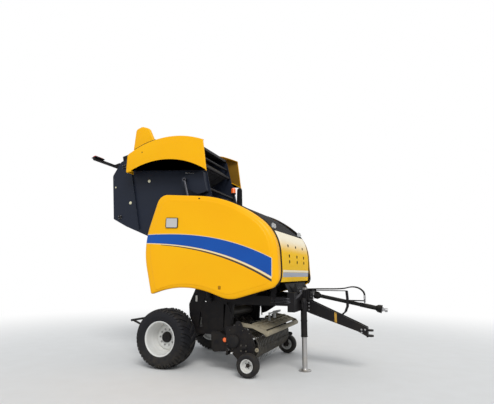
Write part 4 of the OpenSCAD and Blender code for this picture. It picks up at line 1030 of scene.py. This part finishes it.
# %% Rim, cap, nuts and valve
LEFT_WHEEL, NUT_CIRCLE = (0, 1000, TYRE_R), 137.5
dish = [[94, -30], [150, -30], [186, -30], [205, -37], [225, -60], [243, -30], [252, 20], [258, 60], [261, 66],
        [264, 84], [268, 140], [271, 190], [275, 208], [281, 219], [291, 225], [299, 225], [302, 219], [299, 214],
        [290, 211], [285.5, 200], [285.5, 120], [276, 60], [276, -60], [285.5, -120], [285.5, -200], [290, -211],
        [299, -214], [302, -219], [298, -224], [284, -222], [271.5, -205], [271.5, -110], [240, -104], [215, -90],
        [190, -46], [94, -44]]
cap_line = [[0, 12], [26, 12], [30, 10], [60, 10], [64, 12], [78, 12], [86, 8], [90, 0], [91, -30], [94, -30],
            [96, -34], [0, -34]]
nut = join(turned([[0, 9], [8.5, 9], [8.5, 0], [13.5, -1], [14.2, -4], [14.2, -16], [0, -16]], 6),
           turned([[0, 15], [5.5, 15], [6.5, 14], [6.5, 0]], 12), turned([[0, -15], [19, -15], [19, -18]], 20))
valve = turned([[0, 34], [4, 34], [5, 30], [5, 0], [8, -2], [8, -10]], 12)
nuts = join(repeat(nut, circle(0, 986, TYRE_R, NUT_CIRCLE, steps_round(10))),
            repeat(valve, mm(236, 962, TYRE_R + 60)))
pair("rim_dish_{}", mirrored(lathe(dish, LEFT_WHEEL, sides=120, closed=True)), white_paint, "wheel_{}",
     stands_for="rim_{}", crease=50)
pair("hub_cap_{}", mirrored(lathe(cap_line, LEFT_WHEEL, sides=72)), black, "wheel_{}", crease=40)
pair("wheel_nuts_{}", mirrored(nuts), steel, "wheel_{}", bevel=0.0012)

# %% [markdown]
# ## Gauge wheels
# Two small ribbed wheels carry the pickup over the ground. Two grooves part the tyre's tread into three
# ribs; the rim is pressed in two halves round a dark hub with five bolts.

# %% Gauge tyres and rims
GAUGE = (1630, 1140, 187.5)
t = np.linspace(-1, 1, 61)
tread_r = 187.0 - 9 * np.abs(t) ** 3.2 - 3.2 * np.exp(-(((np.abs(t) - 0.33) / 0.05) ** 2))
flank = np.array([[172, 75], [158, 84], [140, 83.5], [120, 78], [104, 68]])
small = np.concatenate([np.stack([tread_r, t * 64], -1), smooth_line(flank, 14), [[100.5, 66], [100.5, -66]],
                        smooth_line(flank[::-1] * [1, -1], 14)])
small_rim = [[15, 4], [60, 4], [74, 2], [84, 14], [91, 44], [94, 70], [99, 76], [105, 76.5], [107, 74], [104, 70],
             [99.5, 66], [99.5, -66], [104, -70], [107, -74], [104, -76.5], [92, -72], [84, -14], [74, -8], [15, -8]]
small_hub = lathe([[0, 39], [18, 39], [22, 36], [26, 20], [32, 16], [32, -30], [28, -44], [0, -46]], GAUGE, sides=40)
hub_bolts = repeat(turned([[0, 8], [7, 8], [8, 6], [8, -2]], 6), circle(1630, 1144, 187.5, 46, steps_round(5)))
pair("gauge_tread_{}", mirrored(lathe(small, GAUGE, sides=96, closed=True)), tyre_rubber, "gauge_{}",
     stands_for="gauge_tyre_{}", crease=50)
pair("gauge_dish_{}", mirrored(lathe(small_rim, GAUGE, sides=72, closed=True)), white_paint, "gauge_{}",
     stands_for="gauge_rim_{}", crease=50)
pair("gauge_hub_{}", mirrored(join(small_hub, hub_bolts)), black, "gauge_{}", crease=40)

# %% [markdown]
# ## Pickup reel, spring tines and stripper bands
# This is the machine's hardest piece of making. Five bars run round with the reel. Each carries double
# spring tines: one wire, wound three turns round the bar on each side of the loop that is bolted down,
# whose two prongs reach out between the stripper bands. A band is pressed from sheet into a C with
# turned edges, so that crop is wiped off a tine as it draws in, and is bolted at its upper tail.

# %% Reel, tines and bands
REEL, PITCH, WIRE = (1500, 0, 420), 0.080, 0.0036
polar = np.concatenate([[[333, 135], [290, 135], [256, 135], [240, 134.6], [231, 133.2], [227.3, 130.5]],
                        np.stack([np.full(78, 226.6), np.linspace(127, -152, 78)], -1),
                        [[227.3, -155.5], [231, -158.2], [240, -159.6], [256, -160], [290, -160], [317, -160]]])
a = np.radians(polar[:, 1])
band_run = [REEL[0], REEL[2]] + polar[:, :1] * np.stack([np.cos(a), np.sin(a)], -1)
pressing = [[-10, -23], [-3, -23], [0, -20], [1.3, -8], [1.3, 8], [0, 20], [-3, 23], [-10, 23], [-10, 20.4],
            [-4, 20.2], [-2.6, 18.6], [-1.7, 8], [-1.7, -8], [-2.6, -18.6], [-4, -20.2], [-10, -20.4]]
band_at = (np.arange(23) - 11) * PITCH
hexagon = turned([[0, 7], [8, 7], [9, 6], [9, 0], [14, 0], [14, -2]], 6, "z")
make("band_set", repeat(ribbon(band_run, 0, pressing), across(band_at)), pressed, "pickup", crease=30,
     stands_for=["stripper_bands"])
make("band_bolts", repeat(hexagon, mm(1270, 1000 * band_at, 724)), steel, "pickup")

wound = np.radians(82) + np.linspace(6 * math.pi, 0, 46)
reach = np.array([8, 25, 50, 80, 110, 134.0])
prong = np.stack([152.7 + 0.99 * reach, 34 + 6 * np.clip(reach / 40, 0, 1),
                  19 - 0.139 * reach + 0.0004 * reach ** 2], -1)
coil = np.stack([150 + 19.2 * np.cos(wound), np.linspace(10, 34, 46), 19.2 * np.sin(wound)], -1)
back = np.array([0, 14, 22, 26.5, 28, 26.5, 22, 14, 0.0])
loop = np.stack([152.7 - 0.99 * back, np.array([10, 10, 9, 6, 0, -6, -9, -10, -10.0]), 19 + 0.139 * back], -1)
clamp = join(centred(block(122, 150, -13, 13, 14.6, 17.5)), (hexagon[0] + [0.134, 0, 0.027], hexagon[1]))
double = join(both(tube(np.concatenate([coil, prong]) / 1000, WIRE, 7)), tube(loop / 1000, WIRE, 7), clamp)
tine_row = repeat(double, across((np.arange(11) - 5) * 2 * PITCH))
make("reel_tines", spin(tine_row, REEL, -steps_round(5)), spring, "reel", crease=50)
end_disc = lathe([[41, 978], [150, 978], [170, 979.5], [175, 984], [175, 988], [171, 991], [41, 991]], REEL,
                 sides=64, closed=True)
core = lathe([[0, -993], [38, -993], [40, -991], [40, 991], [38, 993], [0, 993]], REEL, sides=32)
one_bar = centred(lathe([[0, -989], [13, -989], [15, -987], [15, 987], [13, 989], [0, 989]], (150, 0, 0), sides=18))
stub = lathe([[0, -1011], [26, -1011], [29, -1008], [30, -990]], REEL, sides=32)
make("reel_carrier", join(core, both(end_disc, stub), spin(one_bar, REEL, -steps_round(5))), black, "reel", "steel",
     crease=40, stands_for=["pickup_reel"])

# %% [markdown]
# ## Windguard
# A roller on two bent arms holds the windrow down in front of the reel. The roller is a rolled tube with
# welded seams and end caps; behind it a folded plate and a row of spring rods comb the crop back.

# %% Windguard roller, arms and rods
ROLLER = (1880, 0, 660)
seams = [[42 + rise, y + at] for y in (-640, -320, 0, 320, 640) for at, rise in ((-4, 0), (0, 1.2), (4, 0))]
roller = lathe([[0, -955], [34, -955], [40, -952], [42, -947], *seams, [42, 947], [40, 952], [34, 955], [0, 955]],
               ROLLER, sides=40)
hub = lathe([[0, -968], [18, -968], [20, -966], [20, -948], [0, -948]], ROLLER, sides=24)
arm = cut([[1360, 760, 30], [1360, 830, 30], [1640, 800, 60], [1900, 712, 34], [1880, 640, 34], [1640, 740, 60]],
          -964, -950, 6)
flange = ribbon(smooth_line([[1385, 829], [1500, 817], [1640, 795], [1760, 760], [1880, 718]], 24), -957,
                [[-4, -12], [-4, 12], [0, 12], [0, -12]])
plate = cut([[1610, 786, 2], [1614, 796, 4], [1766, 750, 12], [1838, 716, 4], [1836, 708, 2], [1762, 742, 12]],
            -952, 952, 4)
stiffener = slab([[1622, 792], [1640, 806], [1764, 766], [1800, 732]], -3, 3)
angles = join(slab([[1688, 770], [1716, 762], [1722, 784], [1694, 792]], -940, 940),
              slab([[1618, 790], [1634, 786], [1640, 812], [1624, 816]], -940, 940))
a = steps_round(8)
comb = ribbon(smooth_line([[1742, 746], [1700, 742], [1640, 732], [1570, 727], [1500, 731], [1440, 745]], 30), 0,
              np.stack([4 * np.cos(a), 4 * np.sin(a)], -1))
comb_at = (np.arange(24) - 11.5) * PITCH
make("windguard_roller", join(roller, both(hub)), straw_grey, "windguard", crease=30, stands_for=["windguard"])
make("windguard_arms", join(both(arm, flange), plate, angles, repeat(stiffener, across(np.linspace(-0.84, 0.84, 8)))),
     straw_grey, "windguard", bevel=0.0018)
make("windguard_rods", repeat(comb, across(comb_at)), spring, "windguard", crease=60)
make("windguard_bolts", repeat(hexagon, mm(1706, 1000 * comb_at, 766)), steel, "windguard")

# %% [markdown]
# ## Pickup's ends
# Each side plate carries the reel's bearing in a flanged housing, a row of bolts and the gauge wheel's
# collar. On the right a domed cover hides the reel's drive, and a pale knob and a ring catch the eye.

# %% Bearings, bolts and drive cover
flat_hex = turned([[0, 8], [8, 8], [9.5, 7], [9.5, 0], [15, 0], [15, -2]], 6)
housing = lathe([[0, 1042], [20, 1042], [26, 1040], [34, 1028], [44, 1024], [46, 1013], [46, 1011]], REEL, sides=36)
flange_plate = cut([[1440, 360, 22], [1560, 360, 22], [1560, 480, 22], [1440, 480, 22]], 1011, 1019, 6)
bolts_at = [mm([1456, 1544, 1544, 1456], 1020, [376, 376, 464, 464]),
            mm([1206, 1300, 1330, 1250, 1420, 1480, 1600, 1618], 1012, [470, 400, 780, 700, 790, 700, 660, 300])]
bead = ribbon(smooth_line([[1215, 445], [1235, 420], [1330, 330], [1425, 240], [1520, 240], [1625, 285], [1660, 370],
                           [1660, 470], [1600, 640]], 60), 1012, [[0, 0], [3, 5], [0, 10], [-5, 7], [-5, 0]])
collar = lathe([[15, 1158], [24, 1158], [24, 1170], [15, 1170]], (1630, 0, 187.5), sides=24, closed=True)
make("pickup_ends", both(housing, flange_plate, bead, collar), black, "pickup", bevel=0.0015)
make("pickup_bolts", both(repeat(flat_hex, np.concatenate(bolts_at))), roll_steel, "pickup")
drive_cover = [[0, -1072], [60, -1070], [92, -1062], [104, -1050], [108, -1036], [108, -1013]]
knob = [[0, -1090], [10, -1088], [15, -1082], [16, -1075], [12, -1066], [8, -1062], [8, -1012]]
ring = [[8, -1038], [30, -1038], [33, -1035], [33, -1027], [8, -1027]]
make("reel_drive_cover", lathe(drive_cover, (1318, 0, 520), sides=56), dark, "pickup", crease=40)
make("pickup_knobs", lathe(knob, (1309, 0, 342), sides=24), white_paint, "pickup")
make("drive_ring", lathe(ring, (1740, 0, 410), sides=32, closed=True), straw_grey, "pickup")

# %% [markdown]
# ## Beacon, reflectors and tail lamps
# The beacon is a moulded dome that stands on a rubber foot over the deck. The reflectors are round lenses
# in black rings. Each tail lamp is a housing with three lenses side by side: red, red and amber. All of
# them are turned or cut profiles; the lamps on the gate are drawn with it shut, and turned up with it.

# %% Lamps and the bar that carries them
REFLECTOR = (1104, 0, 516)
dome = [[0, 128], [20, 125], [34, 116], [42, 104], [45, 88], [46, 24], [47, 14], [0, 14]]
foot = [[0, -10], [44, -10], [52, -6], [52, 12], [49, 17], [0, 17]]
round_lens = [[0, -905], [20, -904.4], [33, -902], [38, -897], [38, -889], [0, -889]]
lens_ring = [[37, -899], [40, -902], [43, -900], [44, -888], [37, -888]]
marker = cut([[431, 1130, 10], [469, 1130, 10], [469, 1240, 10], [431, 1240, 10]], -741, -734, 4)
make("beacon_dome", lathe(dome, (850, 0, 3252), "z", 48), amber, "chassis", crease=40, stands_for=["amber_lamps"])
make("beacon_foot", lathe(foot, (850, 0, 3250), "z", 40), hose_rubber, "chassis", crease=40)
make("reflectors", both(lathe(round_lens, REFLECTOR, sides=40)), amber, "chassis", crease=40)
make("reflector_rings", both(lathe(lens_ring, REFLECTOR, sides=40, closed=True)), black, "chassis", crease=40)
make("side_markers", both(marker), marker_lens, "chassis", bevel=0.002)

face = [[-920, 742, 6], [-946, 748, 14], [-955, 790, 40], [-946, 832, 14], [-920, 838, 6]]
red_cells, amber_cell = (cut(face, -1124, -1052, 5), cut(face, -1048, -980, 5)), cut(face, -976, -906, 5)
make("tail_lens_red", raised(both(*red_cells)), red, "tailgate", bevel=0.003, stands_for=["tail_lamps"])
make("tail_lens_amber", raised(both(amber_cell)), amber, "tailgate", bevel=0.003)
make("tail_housings", raised(both(block(-932, -917, -1132, -898, 736, 844))), dark, "tailgate", bevel=0.004)
lug = join(block(-898, -862, -538, -502, 812, 958), block(-862, -704, -536, -504, 892, 948))
flap = cut([[-922, 732, 4], [-906, 732, 4], [-906, 848, 4], [-922, 848, 4]], -1149, -880)
gusset = slab([[-862, 860], [-862, 900], [-780, 900]], -524, -516)
bar_bolts = repeat(turned([[0, 8], [8, 8], [9.5, 7], [9.5, 0]], 6, "z"),
                   mm([-880, -880, -760, -760], [-500, 500, -500, 500], [815, 815, 948, 948]))
make("light_bar_tube", raised(join(block(-905, -855, -1149, 1149, 765, 815), both(lug, flap, gusset))), black,
     "tailgate", bevel=0.004, stands_for=["light_bar"])
make("light_bar_bolts", raised(bar_bolts), steel, "tailgate")
lead = smooth_line([[-856, -470, 800], [-850, -440, 830], [-846, -420, 880], [-842, -410, 940]], 20)
make("lamp_lead", raised(tube(mm(*lead.T), 0.005, 8)), hose_rubber, "tailgate", crease=60)

# %% [markdown]
# ## Fittings on the gate's side
# On each of the gate's side walls sit pale reflectors, the roll bearings with their bolts, and a thin bright
# rod that steadies the cover. They follow the gate, so they too are drawn with it shut.

# %% Reflectors, bearings, bolts and the cover's rod
gate_lens = [[0, -628], [16, -627], [28, -624], [32, -620], [32, -611], [0, -611]]
small_lens = [[0, -624], [10, -623], [17, -619], [17, -611], [0, -611]]
bearing_cap = [[0, -640], [18, -640], [24, -636], [30, -626], [46, -622], [48, -611], [0, -611]]
eye = [[0, -650], [13, -650], [14, -648], [14, -611], [0, -611]]
GATE_LENSES = ((-235, 1689, gate_lens), (96, 1162, gate_lens), (-344, 840, small_lens))
GATE_ROLLS, STAY_ENDS = ((330, 860), (-250, 2850), (-690, 2420), (-740, 1120)), ((-142, 2569), (-3, 2950))
lenses = join(*[lathe(q, (x, 0, z), sides=32) for x, z, q in GATE_LENSES])
hubs = join(*[lathe(bearing_cap, (x, 0, z), sides=32) for x, z in GATE_ROLLS])
bolt_head = mirrored(turned([[0, 6], [6, 6], [7, 5], [7, 0], [7, -2]], 6))
row = smooth_line([[-560, 1180], [-640, 1500], [-660, 1900], [-610, 2300], [-500, 2650]], 12)
heads_at = [circle(x, -622, z, 38, np.radians([45, 135, 225, 315])) for x, z in GATE_ROLLS] + [at_y(row, -613)]
stay = tube(at_y(np.linspace(*STAY_ENDS, 8), -640), 0.006)
eyes = join(*[lathe(eye, (x, 0, z), sides=20) for x, z in STAY_ENDS])
make("gate_reflectors", raised(both(lenses)), pale_lens, "tailgate", crease=40)
make("gate_bearings", raised(both(hubs)), black, "tailgate", crease=35)
make("gate_bolts", raised(both(repeat(bolt_head, np.concatenate(heads_at)))), steel, "tailgate")
make("cover_stays", raised(both(stay, eyes)), steel, "tailgate", crease=40)

# %% [markdown]
# ## Drawbar and stand
# The drawbar is a welded box that narrows to a clevis. Its bolts, weld beads and yellow band are what the
# eye takes for real, so they are added on the plain solid. The stand's leg is turned in one profile with
# its foot, whose edge is rolled up so that it doesn't dig in; collars, a cap and a grip dress its tube.

# %% Drawbar's band, welds and bolts; the stand's leg, collars, cap and grip
STAND = (2360, -330, 0)


def top_z(x):
    """The drawbar's upper edge."""
    return 1165 - 365 / 840 * (x - 2420)


def low_z(x):
    """The drawbar's lower edge."""
    return 935 - 270 / 820 * (x - 2420)


band = slab([[2848, low_z(2848) + 4], [2888, low_z(2888) + 4], [2888, top_z(2888) - 4], [2848, top_z(2848) - 4]],
            -86.2, -84.6)
weld_x = np.linspace(2425, 3250, 60)
beads = [tube(mm(weld_x, -84, z), 0.004 + 0.0006 * np.sin(weld_x * 1.7), 6)
         for z in (top_z(weld_x) - 15, low_z(weld_x) + 15)]
hex_y = mirrored(turned([[0, 10], [9, 10], [11, 8.5], [11, 0], [17, 0], [17, -3]], 6))
heads = repeat(hex_y, mm([2325] * 3 + [2395] * 3 + [3300, 3360, 3300], -87, [1000, 1060, 1120] * 2 + [700, 700, 650]))
make("drawbar_band", both(band), band_gold, "chassis")
make("drawbar_welds", both(*beads), black, "chassis", crease=70)
make("drawbar_bolts", both(heads), steel, "chassis")
leg = [[0, 700], [44, 700], [44, 62], [48, 40], [58, 22], [74, 13], [98, 12], [106, 15], [110, 13], [110, 7],
       [104, 0], [0, 0]]
collars = [lathe([[55, a], [60, a + 2], [60, a + 20], [55, a + 22]], STAND, "z", closed=True) for a in (561, 820, 1120)]
cap = lathe([[0, 1214], [14, 1214], [20, 1210], [34, 1208], [40, 1200], [52, 1166], [57, 1158], [57, 1140], [54, 1138]],
            STAND, "z")
grip = lathe([[0, 1040], [12, 1042], [16, 1050], [15, 1080], [16, 1108], [12, 1114], [0, 1116]], (2360, -458, 0),
             "z", 24)
make("stand_leg", lathe(leg, STAND, "z", 56), steel, "jack", crease=40, stands_for=["jack_leg"])
make("stand_fittings", join(*collars, cap, grip), black, "chassis", crease=40)

# %% [markdown]
# ## Drive shaft
# The shaft from the tractor turns inside a plastic guard: a ribbed bell at each end, and two tubes that
# slide in one another. A profile with the ribs in it, turned round the shaft's slanting axis, gives
# all of that; the yoke in front has two ears, a cross and the sliding collar that locks it.

# %% Guard and yokes
SHAFT_A, SHAFT_B = np.array([2450.0, 1270.0]), np.array([3740.0, 1026.0])
end = float(np.linalg.norm(SHAFT_B - SHAFT_A))
cos_s, sin_s = (SHAFT_B - SHAFT_A) / end


def laid(shape):
    """A centred shape laid along the shaft: x goes to the cosine and sine of its slope."""
    x, y, z = shape[0].T
    return np.stack([cos_s * x - sin_s * z, y, sin_s * x + cos_s * z], -1) + at_y(SHAFT_A, 0), shape[1]


def on_shaft(profile, sides, closed=False):
    """A profile turned round x and laid along the shaft; its front parts are counted back from the end."""
    return laid(turned(profile, sides, "x", closed))


k = np.arange(11)
rear_ribs = np.stack([66 + 3 * (k % 2) - 0.35 * k, 44 + 6.5 * k], -1).tolist()
front_ribs = np.stack([62 + 3 * (k % 2) + 0.5 * k, end - 160 + 6.5 * k], -1)[:10].tolist()
rear_bell = [[36, 40], [70, 40], *rear_ribs, [58, 118], [44, 136], [36, 150]]
front_bell = [[36, end - 200], [44, end - 188], [56, end - 168], *front_ribs, [70, end - 92], [36, end - 92]]
sleeve = [[30, 148], [33, 150], [33, end - 462], [38, end - 460], [39, end - 452], [38, end - 446], [38, end - 166],
          [34, end - 164], [30, end - 160]]
guard = join(*[on_shaft(q, 44, closed=True) for q in (rear_bell, front_bell, sleeve)])
make("shaft_guard", guard, hose_rubber, "chassis", "black_paint", crease=30, stands_for=["pto_shaft"])
core = on_shaft([[0, 8], [30, 8], [34, 12], [34, 60], [26, 64], [24, end - 110], [30, end - 104], [0, end - 104]], 36)
collar = on_shaft([[17.5, end - 44], [33, end - 44], [36, end - 40], [36, end - 24], [33, end - 21], [31, end - 10],
                   [31, end], [17.5, end]], 40, closed=True)
ears = [block(end - 106, end - 40, y - 7, y + 7, -24, 24) for y in (-26, 26)]
pins = [lathe([[0, -36], [11, -36], [12, -34], [12, 34], [11, 36], [0, 36]], (end - 82, 0, 0), axis, 20)
        for axis in ("y", "z")]
make("shaft_yokes", join(core, collar, *[laid(centred(s)) for s in ears + pins]), steel, "chassis", bevel=0.002,
     crease=35)

# %% [markdown]
# ## Gearbox and hydraulic block
# The gearbox is a ribbed casting with a bolted lid, and beside it, under the front door, sit the valve block
# with its hexagon plugs and the bent steel pipes that go back along the frame.

# %% Casting, lid, valve block and pipes
ribs = [block(x - 4, x + 4, -138, 138, 1172, 1338) for x in (2322, 2360, 2398)]
lid = cut([[2306, 1344, 4], [2414, 1344, 4], [2414, 1358, 8], [2306, 1358, 8]], -124, 120)
flange = lathe([[60, -2], [92, -2], [96, 2], [96, 12], [92, 16], [78, 18], [76, 30], [60, 30]], (2420, 0, 1270), "x",
               closed=True)
stud_a = np.radians(np.arange(6) * 60 + 30)
hex_x = turned([[0, 8], [7, 8], [8.5, 7], [8.5, 0]], 6, "x")
hex_z = turned([[0, 7], [7, 7], [8, 6], [8, 0]], 6, "z")
studs = join(repeat(hex_x, mm(2436, 86 * np.cos(stud_a), 1270 + 86 * np.sin(stud_a))),
             repeat(hex_z, mm([2316, 2404, 2316, 2404], [98, 98, 50, 50], 1358)))
make("gearbox_ribs", join(*ribs, lid, flange), cast, "chassis", bevel=0.003, crease=35)
make("gearbox_bolts", studs, steel, "chassis")
valves = [block(2205, 2292, -470, -250, 1318, 1392), block(2215, 2282, -455, -265, 1390, 1408)]
solenoid = [[0, 1470], [17, 1470], [20, 1466], [20, 1410], [14, 1408], [0, 1408]]
valves += [lathe(solenoid, (2248, y, 0), "z", 24) for y in (-420, -360, -300)]
plugs = repeat(hex_x, mm(2292, [-440, -400, -360, -320, -280] * 2, [1345] * 5 + [1372] * 5))
pipes = []
for k, y in enumerate((-440, -400, -360, -320)):
    way = smooth_line([[2296, y, 1345], [2318, y, 1343], [2330, y - 6, 1318 - 6 * k],
                       [2326, -480 - 18 * k, 1290 - 14 * k], [2290, -600 - 18 * k, 1250 - 14 * k],
                       [2200, -752, 1225 - 24 * k], [2050, -752, 1228 - 24 * k], [1900, -752, 1226 - 24 * k]], 44)
    pipes.append(tube(mm(*way.T), 0.006, 8))
clips = [block(x - 12, x + 12, -764, -735, 1142, 1240) for x in (1950, 2120)]
make("valve_block", join(*valves), cast, "chassis", bevel=0.003, crease=35)
make("valve_plugs", plugs, chrome, "chassis")
make("steel_pipes", join(*pipes), chrome, "chassis", crease=60)
make("pipe_clips", join(*clips), black, "chassis", bevel=0.002)

# %% [markdown]
# ## Front apron and drive case
# Under the front door a folded apron closes the gap down to the frame. On the left the chains that drive
# the rolls and the pickup run in a long pressed case with a raised bead and screws round its lid.

# %% Apron, drive case and its lid
CASE_MID = [1600, 1150]
apron = cut([[2196, 1316, 2], [2208, 1316, 2], [2130, 1470, 6], [2100, 1478, 2], [2100, 1472, 2], [2118, 1466, 4]],
            -700, 700, 4)
stiffener = slab([[2208, 1316], [2250, 1322], [2140, 1452], [2130, 1470]], -4, 4)
case_line = rounded([[1190, 1285, 40], [1190, 822, 30], [1292, 858, 50], [1556, 1022, 80], [1796, 1114, 60],
                     [2170, 1150, 30], [2170, 1232, 30], [1500, 1285, 60]])
case = join(slab(case_line, 735, 796), slab(toward(case_line, CASE_MID, 0.93), 794, 804))
screws_at = at_y(even(toward(case_line, CASE_MID, 0.965), 18, closed=True), 797)
make("front_apron", join(apron, repeat(stiffener, across(np.array([-0.5, 0.0, 0.5])))), dark, "chassis", bevel=0.002)
make("drive_case", case, black, "chassis", bevel=0.006, rounds=3)
make("drive_case_screws", repeat(mirrored(bolt_head), screws_at), steel, "chassis")

# %% [markdown]
# ## Float springs and deck catches
# Small pale parts catch the light against the black frame: the float units that carry the windguard, with
# a bare spring on the right and a sleeve on the left, and the catches that hold the deck down.

# %% Float springs, their levers and the deck's catches
FLOAT = (1664, 150, 0)
wound = np.linspace(0, 18 * math.pi, 220)
spring_wire = tube(mm(1664 + 17 * np.cos(wound), 150 + 17 * np.sin(wound), 808 + 88 * wound / wound[-1]), 0.0032, 7)
spring_rod = lathe([[0, 790], [7, 790], [7, 800], [20, 802], [20, 808], [7, 809], [7, 896], [20, 897], [20, 903],
                    [8, 905], [8, 922], [0, 922]], FLOAT, "z", 20)
lever = cut([[1644, 908, 8], [1684, 904, 10], [1752, 934, 12], [1748, 950, 8], [1676, 930, 10], [1648, 930, 8]],
            144, 156, 5)
lug = [[1644, 786, 4], [1684, 776, 4], [1676, 806, 8], [1652, 810, 8]]
sleeve = lathe([[0, 806], [26, 806], [29, 810], [29, 880], [24, 892], [0, 892]], FLOAT, "z", 32)
paddle = cut([[1630, 896, 10], [1700, 896, 12], [1790, 932, 16], [1780, 962, 12], [1690, 946, 16], [1640, 934, 10]],
             118, 182, 6)
make("float_unit", join(sleeve, paddle), white_paint, "windguard", bevel=0.004)
make("float_springs", mirrored(spring_wire), white_paint, "windguard", crease=60)
make("float_levers", mirrored(join(spring_rod, lever, cut(lug, 130, 138, 5), cut(lug, 162, 170, 5))), white_paint,
     "windguard", bevel=0.0015)
catch = join(block(1955, 2027, -880, -866, 2406, 2480), block(1970, 2012, -896, -878, 2420, 2466))
hook = tube(at_y(smooth_line([[1962, 2466], [1978, 2496], [2016, 2470], [2036, 2424]], 24), -884), 0.007, 8)
make("deck_catches", both(catch, hook), white_paint, "chassis", "steel", bevel=0.002)

# %% [markdown]
# ## Sizes
# The dressed model has to fill the box of the solids that it stands for. The box of the dressed scene
# is worked out and printed.

# %% Sizes and the script's last line
low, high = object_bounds()
print("visual box", [round(x, 3) for x in (*low, *high)])
